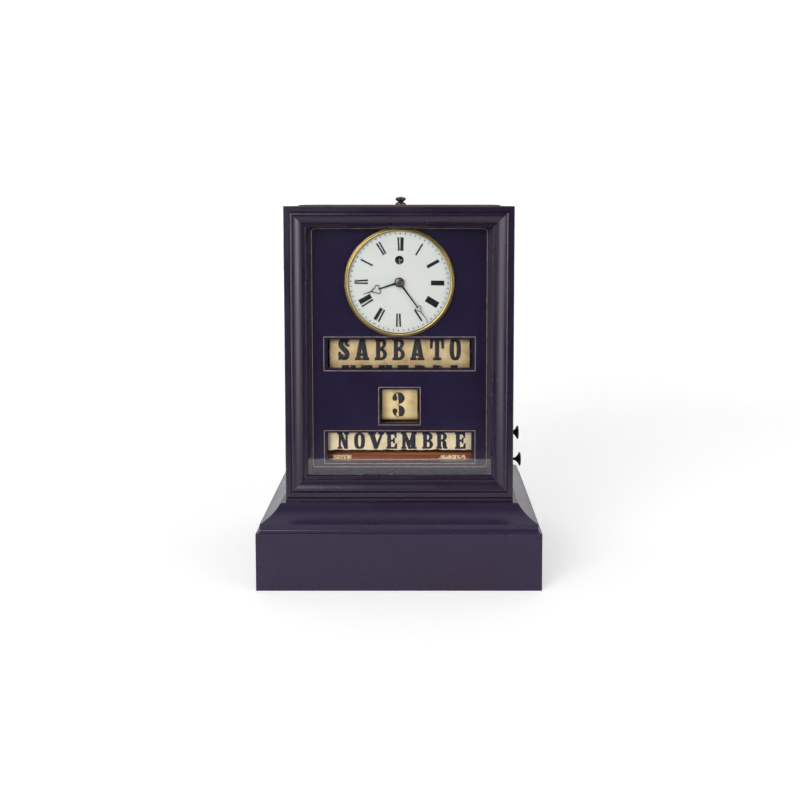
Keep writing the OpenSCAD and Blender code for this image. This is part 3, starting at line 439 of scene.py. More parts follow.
doorHalf, doorMiddle = (size / mm for size in halfAndMiddle("door_frame"))
baseHalf = cadHigh / mm
dialMiddle = halfAndMiddle("enamel_dial")[1] / mm
finishes = {
    "plinth": ebonisedWood("ebonised_plinth", mitred("XY", (baseHalf.x, baseHalf.y), (0, 0)),
                           "#261d37", "#29203b", 0.32),
    "door": ebonisedWood("ebonised_door", mitred("XZ", (doorHalf.x, doorHalf.z), (0, doorMiddle.z))),
    "upright": ebonisedWood("ebonised_upright", straight("Z")),
    "level": ebonisedWood("ebonised_level", straight("X")),
    "panel": panelLacquer(),
    "lid": waxedWood("mahogany_lid", "X", "#2a1714", "#46281f", "#5b3a2c", 0.35),
    "back": waxedWood("stained_back", "Z", "#38231a", "#4d3324", "#60432f", 0.6),
    "roller": waxedWood("beech_roller", "X", "#6b4128", "#8a5a38", "#a06d47", 0.6, 1.0),
    "bareRoller": waxedWood("bare_roller", "X", "#552419", "#7d4029", "#c4763f", 0.55, 0.6),
    "ebony": turnedEbony(),
    "glass": windowGlass(),
    "brass": agedBrass("aged_brass", "#c9a45c", "#7a5a30", 0.3),
    "gilt": agedBrass("gilt_brass", "#e0b95c", "#94702f", 0.22, 0.45),
    # bezel rings, radius in mm and colour: painted highlights on the beads, painted shade in the groove and
    # at the inner edge
    "bezel": turnedGilding("turned_gilding", dialMiddle * mm, [
        (43.0, "#2e261d"), (43.25, "#4a3b24"), (43.5, "#cbb06a"), (44.1, "#e9d38c"), (44.4, "#8a7343"),
        (44.7, "#63502f"), (45.0, "#d9c27f"), (45.4, "#cfb277"), (45.8, "#94795a"), (46.6, "#866d55")]),
    "steel": steel("polished_steel", "#a7a8aa", "#6f6a66", 0.25),
    "blued": steel("blued_steel", "#1d1c20", "#2c2a2d", 0.35),
    "browned": steel("browned_steel", "#78716f", "#4d4542", 0.42),
    "minuteHand": arborMetal("blued_minute_hand", dialMiddle * mm, "#1d1c20", "#5f5856", 3.3, 0.38),
    "enamel": firedEnamel(),
    "dialInk": ink("fired_black", "#0f1114", "#33363b", 0.2, 0.3),
    "trackInk": ink("fired_violet", "#302c3b", "#75727c", 0.3, 0.35),
    "dayInk": ink("printers_ink", "#1f1b24", "#4d4238", 0.35, 0.75),
    "monthInk": ink("blue_black_ink", "#17162a", "#3d3848", 0.35, 0.7),
    "dayPaper": agedPaper("yellowed_paper", "#dcc59c", "#cdb083", "#a98a60", 60),
    "datePaper": agedPaper("date_paper", "#fbe0ac", "#eecf98", "#d2ae7a", 15.1),
    "monthPaper": agedPaper("month_paper", "#f9e6c4", "#ecd6b0", "#c6aa80", 62),
    "gilding": wornGilding(),
}

nodeFinish = {
    "plinth": "plinth base_moulding",
    "door": "door_frame glazing_beads",
    "upright": "case_left_side case_right_side",
    "level": "case_floor case_top",
    "panel": "dial_panel",
    "lid": "lid",
    "back": "back_door",
    "ebony": "lid_knob upper_month_knob lower_month_knob",
    "roller": "calendar_cheeks day_drum date_guides upper_date_spool lower_date_spool upper_month_spool",
    "bareRoller": "lower_month_spool",
    "glass": "door_glass",
    "gilt": "pendulum_bob",
    "bezel": "dial_bezel",
    "enamel": "enamel_dial",
    "minuteHand": "minute_hand",
    "blued": "hour_hand mainspring detent_springs",
    "browned": "cannon_pinion winding_arbor",
    "steel": "hinge_pins winding_ratchet winding_click pallets pendulum_rod day_arbor trip_lever drive_rod",
}
for wheel in "centre_wheel third_wheel intermediate_wheel escape_wheel calendar_wheel".split():
    finishes[wheel] = arborMetal(wheel + "_metal", halfAndMiddle(wheel)[1])
    nodeFinish[wheel] = wheel


def dressNodes():
    given = {node: finish for finish, names in nodeFinish.items() for node in names.split()}
    for name, node in nodes.items():
        node.data.materials.clear()
        node.data.materials.append(finishes[given.get(name, "brass")])


dressNodes()
print("materials made")


# Pieces laid on a surface of the case: each is projected straight back on to it and gets a thickness

laid = {"lift": 0.01, "ink": 0.03, "gold": 0.04}  # mm; ink is thick enough to stay above its ground


def thicken(piece, thick):
    wall = piece.modifiers.new("wall", "SOLIDIFY")
    wall.thickness = thick * mm
    wall.offset = 1
    applyModifiers(piece)


def layOn(piece, target, finish, thick=laid["ink"]):
    shrink = piece.modifiers.new("lay", "SHRINKWRAP")
    shrink.target = target
    shrink.wrap_method = "PROJECT"
    shrink.wrap_mode = "ABOVE_SURFACE"
    shrink.use_project_y = True
    shrink.offset = laid["lift"] * mm
    thicken(piece, thick)
    dress(piece, finishes[finish], "case")


def cutAcross(piece, axis, start, end, step):  # bisects a flat piece so that it can follow a curve
    startEditing(piece)
    normal = [float(letter == axis) for letter in "XYZ"]
    count = round((end - start) / step)
    for i in range(1, count):
        bpy.ops.mesh.select_all(action="SELECT")
        at = (start + (end - start) * i / count) * mm
        bpy.ops.mesh.bisect(plane_co=[at * n for n in normal], plane_no=normal)
    stopEditing()


# Dial numerals and minute track

numerals = {
    "turned": 1.2,  # degrees by which the dial sits clockwise of upright
    "inner": 26.6, "outer": 37.8,  # radii in mm
    "serif": 0.1, "serifPast": 0.25,  # thickness, and how much wider than its numeral
    "strokes": {  # advance, then each stroke's place at its outer and inner end and its width
        "I": (1.36, [(0, 0, 1.4)]),
        "V": (2.9, [(-0.8, -0.1, 1.4), (1.0, 0.5, 0.18)]),
        "X": (3.0, [(-0.5, 0.5, 1.4), (0.95, -0.95, 0.18)]),
    },
    "hours": "XII I II III IIII V VI VII VIII IX X XI".split(),
    "front": -66,  # where the flat strokes start, in front of the dial
    "reach": 43, "step": 3,  # the dial's radius, and how finely the strokes are cut to follow its dome
}
track = {"radius": 41.0, "tickLength": 1.9, "tickWidth": 0.55, "diamond": 1.1}


def flatStroke(turn, radius, aside, length, width):  # turn is clockwise from twelve, in radians
    x = dialMiddle.x + radius * math.sin(turn) + aside * math.cos(turn)
    z = dialMiddle.z + radius * math.cos(turn) - aside * math.sin(turn)
    bpy.ops.mesh.primitive_plane_add(size=1, location=(x * mm, numerals["front"] * mm, z * mm),
                                     rotation=(math.pi / 2, turn, 0))
    bpy.context.object.scale = (width * mm, length * mm, 1)
    return bpy.context.object


def addNumerals():
    middle = (numerals["inner"] + numerals["outer"]) / 2
    tall = numerals["outer"] - numerals["inner"]
    made = []
    for hour, letters in enumerate(numerals["hours"]):
        turn = math.tau * hour / 12 + math.radians(numerals["turned"])
        width = sum(numerals["strokes"][letter][0] for letter in letters)
        at = -width / 2
        for letter in letters:
            advance, strokes = numerals["strokes"][letter]
            for outerEnd, innerEnd, thick in strokes:
                lean = math.atan2(outerEnd - innerEnd, tall)
                stroke = flatStroke(turn, middle, at + advance / 2 + (outerEnd + innerEnd) / 2,
                                    tall / math.cos(lean), thick)
                stroke.rotation_euler.y = turn + lean
                made.append(stroke)
            at += advance
        for radius in (numerals["inner"], numerals["outer"]):
            made.append(flatStroke(turn, radius, 0, numerals["serif"], width + numerals["serifPast"]))
    piece = joinAs("dial_numerals", made)
    reach = numerals["reach"]
    for axis, centre in (("X", 0), ("Z", dialMiddle.z)):
        cutAcross(piece, axis, centre - reach, centre + reach, numerals["step"])
    layOn(piece, nodes["enamel_dial"], "dialInk")


def addTrack():
    made = []
    for minute in range(60):
        turn = math.tau * minute / 60 + math.radians(numerals["turned"])
        if minute % 5:
            made.append(flatStroke(turn, track["radius"], 0, track["tickLength"], track["tickWidth"]))
        else:
            diamond = flatStroke(turn, track["radius"], 0, track["diamond"], track["diamond"])
            diamond.rotation_euler.y = turn + math.pi / 4
            made.append(diamond)
    piece = joinAs("minute_track", made)
    layOn(piece, nodes["enamel_dial"], "trackInk")


addNumerals()
addTrack()
print("dial lettered")


# Gold lines on the panel: one round its edge and one round each window

goldLines = {  # left, right, low, high, width and corner radius in mm
    "border_line": (-74.3, 74.3, 93.6, 298.0, 0.5, 3.0),
    "day_line": (-64.6, 64.6, 176.6, 206.1, 0.55, 0),
    "date_line": (-18.1, 17.8, 129.9, 162.9, 0.55, 0),
    "month_line": (-64.6, 64.6, 96.4, 125.5, 0.55, 0),
}


def addGoldLine(name, left, right, low, high, width, corner):
    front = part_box("dial_panel")[0].y
    bpy.ops.mesh.primitive_plane_add(
        size=1, location=((left + right) / 2 * mm, front - mm, (low + high) / 2 * mm),
        rotation=(math.pi / 2, 0, 0))
    piece = bpy.context.object
    piece.name = name
    piece.scale = ((right - left) * mm, (high - low) * mm, 1)
    applyPlace(piece)
    startEditing(piece, selectAll=True)
    if corner:
        bpy.ops.mesh.bevel(offset=corner * mm, segments=5, affect="VERTICES")
        bpy.ops.mesh.select_all(action="SELECT")
    bpy.ops.mesh.inset(thickness=width * mm)
    bpy.ops.mesh.delete(type="FACE")
    stopEditing()
    layOn(piece, nodes["dial_panel"], "gilding", laid["gold"])


for lineName, lineSize in goldLines.items():
    addGoldLine(lineName, *lineSize)
print("gold lines laid")


# Letters: heavy narrow slab serif capitals, as outlines in units of the letter height

face = {"thin": 0.085, "serif": 0.06}  # width of thin strokes, and a serif's reach past its stem


def arc(x, z, rx, rz, start, end, steps=10, power=1.0):
    points = []
    for i in range(steps + 1):
        a = math.radians(start + (end - start) * i / steps)
        c, s = math.cos(a), math.sin(a)
        points.append((x + rx * math.copysign(abs(c) ** power, c),
                       z + rz * math.copysign(abs(s) ** power, s)))
    return points


def leftStem():
    a, t = face["serif"], face["thin"]
    return [(0, 1), (0, 1 - t), (a, 1 - t), (a, t), (0, t), (0, 0)]


def ribbon(points, widths):  # the outline of a stroke of changing width along a middle line
    left, right = [], []
    for i, (x, z) in enumerate(points):
        before, after = points[max(i - 1, 0)], points[min(i + 1, len(points) - 1)]
        along = Vector((after[0] - before[0], after[1] - before[1])).normalized()
        half = widths[i] / 2
        left.append((x - along.y * half, z + along.x * half))
        right.append((x + along.y * half, z - along.x * half))
    return left + right[::-1]


def letterOutlines(letter, w, s):  # w is the letter's width and s its stems'
    t, a = face["thin"], face["serif"]
    h, r = 1 - t, a + s  # where a top serif begins, and a left stem's right side
    c = w - 0.26  # where a bowl of 0.26 starts
    if letter == "A":
        return [[(0, 0), (0, t), (.08 * w, t), (.34 * w, 1), (.66 * w, 1), (.93 * w, t), (w, t), (w, 0),
                 (.53 * w, 0), (.53 * w, t), (.62 * w, t), (.59 * w, .2), (.36 * w, .2), (.33 * w, t),
                 (.42 * w, t), (.42 * w, 0)],
                [(.39 * w, .3), (.57 * w, .3), (.47 * w, .68)]]
    if letter == "B":
        return [leftStem() + arc(c, .26, .26, .26, -90, 90) + arc(c - .02, .76, .25, .24, -90, 90),
                [(r, t)] + arc(c, .26, .26 - s + .02, .26 - t, -90, 90) + [(r, .52 - t)],
                [(r, .52)] + arc(c - .02, .73, .25 - s + .02, .27 - t - .03, -90, 90) + [(r, h)]]
    if letter == "C":
        return [[(w - .09, .68), (w, .68), (w, 1), (w - .06, 1), (w - .1, .95)]
                + arc(w / 2, .5, w / 2, .51, 62, 322, 22, .8) + [(w - .08, .27)]
                + arc(w / 2, .5, w / 2 - s, .5 - t, 312, 50, 20, .8)]
    if letter == "D":
        return [leftStem() + arc(w - .32, .5, .32, .5, -90, 90, 14, .9),
                [(r, t)] + arc(w - .32, .5, .32 - s, .5 - t, -90, 90, 12, .9) + [(r, h)]]
    if letter == "E":
        return [leftStem() + [(w, 0), (w, .32), (w - .06, .32), (w - .15, t), (r, t), (r, .46),
                              (w - .24, .46), (w - .2, .34), (w - .14, .34), (w - .14, .68), (w - .2, .68),
                              (w - .24, .55), (r, .55), (r, h), (w - .17, h), (w - .09, .7),
                              (w - .03, .7), (w - .03, 1)]]
    if letter == "G":
        return [[(w - .12, .68), (w - .03, .68), (w - .03, 1), (w - .09, 1), (w - .13, .95)]
                + arc(w / 2 - .02, .5, w / 2 - .02, .51, 62, 290, 20, .8)
                + [(w - .16, .07), (w - .1, 0), (w - .03, 0), (w - .03, .4), (w, .4), (w, .47),
                   (w - .36, .47), (w - .36, .4), (w - .25, .4), (w - .25, .18)]
                + arc(w / 2 - .02, .5, w / 2 - .02 - s, .5 - t, 285, 50, 18, .8)]
    if letter == "I":
        return [leftStem() + [(w, 0), (w, t), (w - a, t), (w - a, h), (w, h), (w, 1)]]
    if letter == "L":
        return [leftStem() + [(w, 0), (w, .38), (w - .06, .38), (w - .15, t), (r, t), (r, h),
                              (2 * a + s, h), (2 * a + s, 1)]]
    if letter == "M":
        return [[(0, 0), (.3, 0), (.3, t), (.23, t), (.23, .62), (.47 * w, 0), (.55 * w, 0), (w - .33, .62),
                 (w - .33, t), (w - .38, t), (w - .38, 0), (w, 0), (w, t), (w - .07, t), (w - .07, h),
                 (w, h), (w, 1), (w - .27, 1), (.53 * w, .46), (.27, 1), (0, 1), (0, h), (.07, h),
                 (.07, t), (0, t)]]
    if letter == "N":
        return [[(0, 0), (.27, 0), (.27, t), (.19, t), (.19, .66), (w - .26, 0), (w - .08, 0),
                 (w - .08, h), (w, h), (w, 1), (w - .27, 1), (w - .27, h), (w - .19, h),
                 (w - .19, .4), (.27, 1), (0, 1), (0, h), (.08, h), (.08, t), (0, t)]]
    if letter == "O":
        return [arc(w / 2, .5, w / 2, .51, 0, 351, 39, .78), arc(w / 2, .5, w / 2 - s, .39, 0, 351, 39, .78)]
    if letter == "R":
        return [[(0, 1), (0, h), (a, h), (a, t), (0, t), (0, 0), (2 * a + s, 0), (2 * a + s, t),
                 (r, t), (r, .47), (c - .02, .47), (w - s - .06, .4), (w - s - .04, .08),
                 (w - s + .04, 0), (w + .02, 0), (w + .02, t), (w - .04, .1), (w - .04, .36), (w - .1, .47),
                 (w - .16, .52)]
                + arc(c - .02, .76, .26, .24, -55, 90),
                [(r, .55)] + arc(c - .02, .75, .25 - s + .02, .28 - t - .02, -90, 90) + [(r, h)]]
    if letter == "S":
        rx = w / 2 - .09
        top = arc(w / 2, .73, rx, .215, 5, 205, 12)
        low = arc(w / 2, .27, rx, .215, 25, -175, 12)
        swell = [.1 + .1 * abs(math.cos(math.radians(5 + 200 * i / 12))) for i in range(13)]
        return [ribbon(top + low, swell + swell[::-1]),
                [(w - .07, .64), (w, .64), (w, 1), (w - .05, 1)],
                [(0, 0), (.05, 0), (.07, .36), (0, .36)]]
    if letter == "T":
        m = w / 2
        return [[(m - s / 2 - .09, 0), (m + s / 2 + .09, 0), (m + s / 2 + .09, t), (m + s / 2, t),
                 (m + s / 2, .92), (w - .11, .92), (w - .07, .55), (w, .55), (w, 1), (0, 1), (0, .55),
                 (.07, .55), (.11, .92), (m - s / 2, .92), (m - s / 2, t), (m - s / 2 - .09, t)]]
    if letter == "U":
        q = .11  # the thin right stem
        return [[(0, 1), (0, h), (a, h)] + arc(w / 2, .3, w / 2 - a, .31, 180, 360, 14)
                + [(w - a, h), (w, h), (w, 1), (w - 2 * a - q, 1), (w - 2 * a - q, h), (w - a - q, h)]
                + arc((w - q + s) / 2, .3, (w - q - s) / 2 - a, .3 - t, 360, 180, 12)
                + [(r, h), (2 * a + s, h), (2 * a + s, 1)]]
    if letter == "V":
        return [[(0, 1), (0, h), (.07 * w, h), (.38 * w, 0), (.58 * w, 0), (.92 * w, h),
                 (w, h), (w, 1), (.66 * w, 1), (.66 * w, h), (.78 * w, h), (.56 * w, .3),
                 (.39 * w, h), (.48 * w, h), (.48 * w, 1)]]
    # The stencilled 3: two drops on the left, two half moons on the right, joined by hairlines
    moons = [arc(.245, .745, .214, .215, -90, 90, 14), arc(.245, .232, .218, .225, -90, 90, 14)]
    drop = [(.18, .958), (.11, .925), (.045, .86), (.005, .78)]
    drop += arc(.09, .735, .088, .09, 175, 365, 10) + [(.165, .79), (.128, .845), (.128, .9)]
    return moons + [drop, [(x, .98 - z) for x, z in drop][::-1],
                    [(.18, .958), (.2, .975), (.244, .96), (.244, .945), (.2, .955)],
                    [(.2, .488), (.244, .505), (.244, .475)],
                    [(.18, .022), (.2, .01), (.244, .02), (.244, .005), (.2, -.005)]]


def turnsLeft(outline):  # runs anticlockwise
    pairs = zip(outline, outline[1:] + outline[:1])
    return sum(x * nextZ - nextX * z for (x, z), (nextX, nextZ) in pairs) > 0


# One letter as a flat mesh in the XZ plane, in mm. Its outline runs clockwise and its holes the other
# way, so that the boldness pushes both into the white.
def flatLetter(letter, left, low, width, tall, weight):
    stem, bold = weight
    curve = bpy.data.curves.new("letter", "CURVE")
    curve.dimensions = "2D"
    curve.fill_mode = "BOTH"
    curve.offset = bold
    unit = tall / (1 + 2 * bold)
    for i, outline in enumerate(letterOutlines(letter, width / unit - 2 * bold, stem)):
        if turnsLeft(outline) != (i > 0 and letter in "ABDOR"):
            outline = outline[::-1]
        spline = curve.splines.new("POLY")
        spline.points.add(len(outline) - 1)
        for point, (x, z) in zip(spline.points, outline):
            point.co = (x, z, 0, 1)
        spline.use_cyclic_u = True
    made = bpy.data.objects.new("letter", curve)
    bpy.context.scene.collection.objects.link(made)
    pickOnly(made)
    bpy.ops.object.convert(target="MESH")
    made = bpy.context.object
    spot = Matrix.Translation(((left + bold * unit) * mm, 0, (low + bold * unit) * mm))
    made.matrix_world = spot @ Matrix.Rotation(math.pi / 2, 4, "X") @ Matrix.Scale(unit * mm, 4)
    return made


def flatWord(name, text, tall, weight, lefts=None, widths=None, room=None, usual=None):
    if lefts is None:  # spread the letters evenly in the room
        widths = [usual[letter] for letter in text]
        gap = min((room - sum(widths)) / (len(text) - 1), usual["gap"])
        start = -(sum(widths) + gap * (len(text) - 1)) / 2
        lefts = [start + sum(widths[:i]) + gap * i for i in range(len(text))]
    letters = [flatLetter(*each, tall, weight) for each in zip(text, lefts, [0] * len(text), widths)]
    return joinAs(name, letters)


# Day roller: a paper sleeve with the seven names printed round it

dayRoller = {
    "paper": 0.15, "off": 0.02,  # the paper's thickness and how far it lies off the wood, in mm
    "sides": 96,
    "wobble": 0.35,  # of the paper's edges, cut by hand
    "capHeight": 19.3, "cut": 1.6,  # names are cut into strips this high, so that they bend
    "weight": (0.155, 0.025),  # width of stems, and boldness added all round, as shares of the height
    "firstTurn": 9.9,  # degrees above level at which the shown name's middle lies
    "slips": {"VENERDI": -4.5},  # degrees by which a name was pasted out of its place
    "names": ["SABBATO", "DOMENICA", "LUNEDI", "MARTEDI", "MERCOLEDI", "GIOVEDI", "VENERDI"],
    "room": 112,
    "widths": {"A": 12.3, "B": 10.6, "C": 10.2, "D": 10.6, "E": 10.3, "G": 10.8, "I": 6.2, "L": 10.2,
               "M": 14, "N": 11.6, "O": 9.8, "R": 10.8, "S": 9.5, "T": 12.1, "U": 11.4, "V": 12, "gap": 4.6},
}
drumHalf, drumMiddle = halfAndMiddle("day_drum")


# Wraps a flat piece round a roller that lies along X; its Z becomes the way round
def wrapRound(piece, middle, radius, turn):
    for vertex in piece.data.vertices:
        angle = turn + vertex.co.z / radius
        reach = radius - vertex.co.y
        vertex.co.y = middle.y - reach * math.cos(angle)
        vertex.co.z = middle.z + reach * math.sin(angle)
    piece.data.update()


def addDayPaper():
    bpy.ops.mesh.primitive_cylinder_add(
        vertices=dayRoller["sides"], radius=drumHalf.z + dayRoller["off"] * mm, depth=2 * drumHalf.x,
        end_fill_type="NOTHING", location=drumMiddle, rotation=(0, math.pi / 2, 0))
    paper = bpy.context.object
    paper.name = "day_paper"
    applyPlace(paper)
    for vertex in paper.data.vertices:
        side = math.copysign(1, vertex.co.x)
        uneven = wave(side * 7, vertex.co.y * 90, vertex.co.z * 90)
        vertex.co.x += side * (uneven - 1) * dayRoller["wobble"] * mm
    thicken(paper, dayRoller["paper"])
    bpy.ops.object.shade_smooth_by_angle(angle=math.radians(40))
    dress(paper, finishes["dayPaper"], "day_roller")


def addDayNames():
    tall = dayRoller["capHeight"]
    radius = drumHalf.z + (dayRoller["off"] + dayRoller["paper"]) * mm
    made = []
    for i, text in enumerate(dayRoller["names"]):
        word = flatWord(text, text, tall, dayRoller["weight"], room=dayRoller["room"],
                        usual=dayRoller["widths"])
        cutAcross(word, "Z", 0, tall, dayRoller["cut"])
        turn = dayRoller["firstTurn"] + 360 * i / len(dayRoller["names"]) + dayRoller["slips"].get(text, 0)
        for vertex in word.data.vertices:
            vertex.co.y = -laid["lift"] * mm
        wrapRound(word, drumMiddle, radius, math.radians(turn) - tall / 2 * mm / radius)
        made.append(word)
    piece = joinAs("day_names", made)
    thicken(piece, laid["ink"])
    dress(piece, finishes["dayInk"], "day_roller")


addDayPaper()
addDayNames()
print("day roller papered")


# Date band: the linen band of the frame, cut into fine strips, slightly cockled, with its number

dateBand = {
    "flat": (30.2, 93.9),
    "strips": (2, 1.5),  # across and up
    "cockle": 0.12, "middle": 148.7, "half": 11,  # only between the two guide rods
    "front": -50,  # the band's front face is before this
    "inkFrom": -56,  # where the flat number starts, in front of the band
    "digit": "3", "left": -6.4, "low": 135.1, "tall": 22.7, "wide": 11.6, "weight": (0.2, 0.01),
    "cuts": (2, 1),
}


def copyOfNode(name, newName):  # a frame node's mesh as a new piece, with its loose triangles merged
    made = copyPiece(nodes[name], Matrix.Identity(4))
    made.parent = None
    for key in list(made.keys()):
        del made[key]
    made.name = made.data.name = newName
    startEditing(made, selectAll=True)
    bpy.ops.mesh.remove_doubles(threshold=0.001 * mm)
    stopEditing()
    return made


def addDateBand():
    low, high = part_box("date_band")
    piece = copyOfNode("date_band", "date_linen")
    cutAcross(piece, "X", low.x / mm, high.x / mm, dateBand["strips"][0])
    cutAcross(piece, "Z", low.z / mm, high.z / mm, dateBand["strips"][1])
    for vertex in piece.data.vertices:
        x, y, z = vertex.co
        flatPart = max(0, 1 - abs(z / mm - dateBand["middle"]) / dateBand["half"])
        if y < dateBand["front"] * mm:
            vertex.co.y += wave(x * 60, 3, z * 35) * flatPart * dateBand["cockle"] * mm
    dress(piece, finishes["datePaper"], "case")
    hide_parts("date_band")
    return piece


def addDate(band):
    left, low, wide, tall = (dateBand[key] for key in ("left", "low", "wide", "tall"))
    digit = flatLetter(dateBand["digit"], left, low, wide, tall, dateBand["weight"])
    digit.location.y = dateBand["inkFrom"] * mm
    digit = joinAs("date_number", [digit])
    cutAcross(digit, "Z", low, low + tall, dateBand["cuts"][1])
    cutAcross(digit, "X", left, left + wide, dateBand["cuts"][0])
    layOn(digit, band, "dayInk")


addDate(addDateBand())
print("date band hung")


# Month band: torn off the lower roller, lumpy where the paste has let go, with its name

monthBand = {
    "width": 123.6, "drop": 13.3,  # across, and hanging free below the roller's middle
    "over": 50,  # degrees of the upper roller that it lies on
    "thick": 0.3, "off": 0.3, "lump": 0.5, "tear": 0.9, "meshes": (150, 30),
    "text": "NOVEMBRE", "low": 108.2, "tall": 14.2, "weight": (0.21, 0.022),
    "inkFrom": -58, "ends": (-54, 58), "cuts": (0.9, 0.8),
    "lefts": [-53.7, -39.3, -27.2, -11.7, 1.2, 19.2, 31.3, 47.4],
    "widths": [10.1, 9.5, 13.7, 9.4, 13.3, 9.5, 9.5, 9.3],
}


def addMonthBand():
    half, middle = halfAndMiddle("upper_month_spool")
    radius = half.z + monthBand["off"] * mm
    arcLength = radius * math.radians(monthBand["over"])
    tall = arcLength + monthBand["drop"] * mm
    piece = addGrid(0, -tall / 2, monthBand["width"] * mm, tall, monthBand["meshes"])
    piece.name = "month_linen"
    for vertex in piece.data.vertices:
        x, z = vertex.co.x, vertex.co.z
        drop = tall / 2 - z - arcLength  # how far below the roller's middle, or negative on the roller
        foot = min(1, max(0, drop / (monthBand["drop"] * mm)))
        tear = wave(x * 140, 5, 0) + 0.5 * wave(x * 600, 9, 0)
        drop -= foot ** 3 * (0.4 + tear) * monthBand["tear"] * mm
        lump = wave(x * 70, 1, z * 50) + 0.4 * wave(x * 230, 2, z * 120)
        out = min(1, foot * 3) * max(-0.2, lump) * monthBand["lump"] * mm
        if drop < 0:
            angle = -drop / radius
            vertex.co.y = middle.y - radius * math.cos(angle)
            vertex.co.z = middle.z + radius * math.sin(angle)
        else:
            vertex.co.y = middle.y - radius - out
            vertex.co.z = middle.z - drop
    thicken(piece, monthBand["thick"])
    bpy.ops.object.shade_smooth_by_angle(angle=math.radians(40))
    dress(piece, finishes["monthPaper"], "case")
    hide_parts("month_band")
    return piece


def addMonthName(band):
    low, tall, lefts, widths = (monthBand[key] for key in ("low", "tall", "lefts", "widths"))
    word = flatWord("month_name", monthBand["text"], tall, monthBand["weight"], lefts, widths)
    for vertex in word.data.vertices:
        vertex.co.y = monthBand["inkFrom"] * mm
        vertex.co.z += low * mm
    cutAcross(word, "Z", low, low + tall, monthBand["cuts"][1])
    cutAcross(word, "X", *monthBand["ends"], monthBand["cuts"][0])
    layOn(word, band, "monthInk")


# What the torn month paper left pasted on the lower roller

paperRemains = {
    "patches": [(-58.3, -41.3), (34.4, 57.3)],  # left and right end of each, in mm
    "low": 14, "high": 42,  # degrees above level
    "thick": 0.2, "off": 0.02, "tear": 2.6, "tearAside": 2, "meshes": (70, 16),
    "flakes": (620, 1700, 0.6, -0.16),  # waves a metre, the finer ones' share and the level of bare wood
}


def isBare(spot):
    coarse, fine, share, level = paperRemains["flakes"]
    return noise.noise(spot * coarse) + share * noise.noise(spot * fine) < level


def addPaperRemains():
    half, middle = halfAndMiddle("lower_month_spool")
    radius = half.z + paperRemains["off"] * mm
    tall = radius * math.radians(paperRemains["high"] - paperRemains["low"])
    made = []
    for left, right in paperRemains["patches"]:
        patch = addGrid((left + right) / 2 * mm, 0, (right - left) * mm, tall, paperRemains["meshes"])
        for vertex in patch.data.vertices:
            x, z = vertex.co.x, vertex.co.z
            torn = wave(x * 180, 4, 0) + 0.5 * wave(x * 700, 8, 0)
            toEnd = (2 * x / mm - left - right) / (right - left)
            vertex.co.z += (z / tall - 0.5) * torn * paperRemains["tear"] * mm
            vertex.co.x += toEnd ** 3 * wave(left, 6, z * 300) * paperRemains["tearAside"] * mm
        selectOnly(patch, patch.data.polygons, lambda part: isBare(part.center))
        startEditing(patch)
        bpy.ops.mesh.delete(type="FACE")
        stopEditing()
        wrapRound(patch, middle, radius, math.radians(paperRemains["low"]))
        made.append(patch)
    piece = joinAs("paper_remains", made)
    thicken(piece, paperRemains["thick"])
    dress(piece, finishes["monthPaper"], "lower_month_spool")


addMonthName(addMonthBand())
addPaperRemains()
print("month band hung")


# Slotted screws in the leaves of the back hinges, one in each third

screws = {
    "radius": 1.25, "head": 0.45, "round": 0.16, "slot": 0.36, "deep": 0.25, "proud": 0.1,
    "knuckle": 1, "aside": 3.7, "leaf": 0.8, "third": 9.33,  # of each hinge
}


def addScrewHead():
    bpy.ops.mesh.primitive_cylinder_add(vertices=32, radius=screws["radius"] * mm, depth=screws["head"] * mm)
    head = bpy.context.object
    selectOnly(head, head.data.polygons, lambda part: part.normal.z > 0.9)
    startEditing(head)
    bpy.ops.mesh.bevel(offset=screws["round"] * mm, segments=2, affect="EDGES")
    stopEditing()
    bpy.ops.mesh.primitive_cube_add(size=1, location=(0, 0, screws["head"] / 2 * mm))
    cutter = bpy.context.object
    cutter.scale = (3 * screws["radius"] * mm, screws["slot"] * mm, 2 * screws["deep"] * mm)
    slot = head.modifiers.new("slot", "BOOLEAN")
    slot.object = cutter
    slot.solver = "EXACT"
    applyModifiers(head)
    bpy.data.objects.remove(cutter)
    return head


def addHingeScrews():
    low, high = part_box("back_hinge_leaves")
    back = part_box("back_door")[1].y + (screws["leaf"] + screws["proud"]) * mm
    knuckle = low.x + screws["knuckle"] * mm
    head = addScrewHead()
    made = {"case": [], "back_door": []}
    for middle in (low.z + screws["third"] / 2 * mm, high.z - screws["third"] / 2 * mm):
        for step in (-1, 0, 1):
            body = "case" if step else "back_door"
            x = knuckle + (-1 if step else 1) * screws["aside"] * mm
            spot = Matrix.Translation((x, back, middle + step * screws["third"] * mm))
            slotTurn = Matrix.Rotation(0.4 + 0.7 * step + 9 * middle, 4, "Z")  # no two stand alike
            made[body].append(copyPiece(head, spot @ Matrix.Rotation(-math.pi / 2, 4, "X") @ slotTurn))
    bpy.data.objects.remove(head)
    for body, heads in made.items():
        dress(joinAs(body + "_hinge_screws", heads), finishes["steel"], body)


addHingeScrews()
print("hinges screwed")


# Floor, backdrop and light

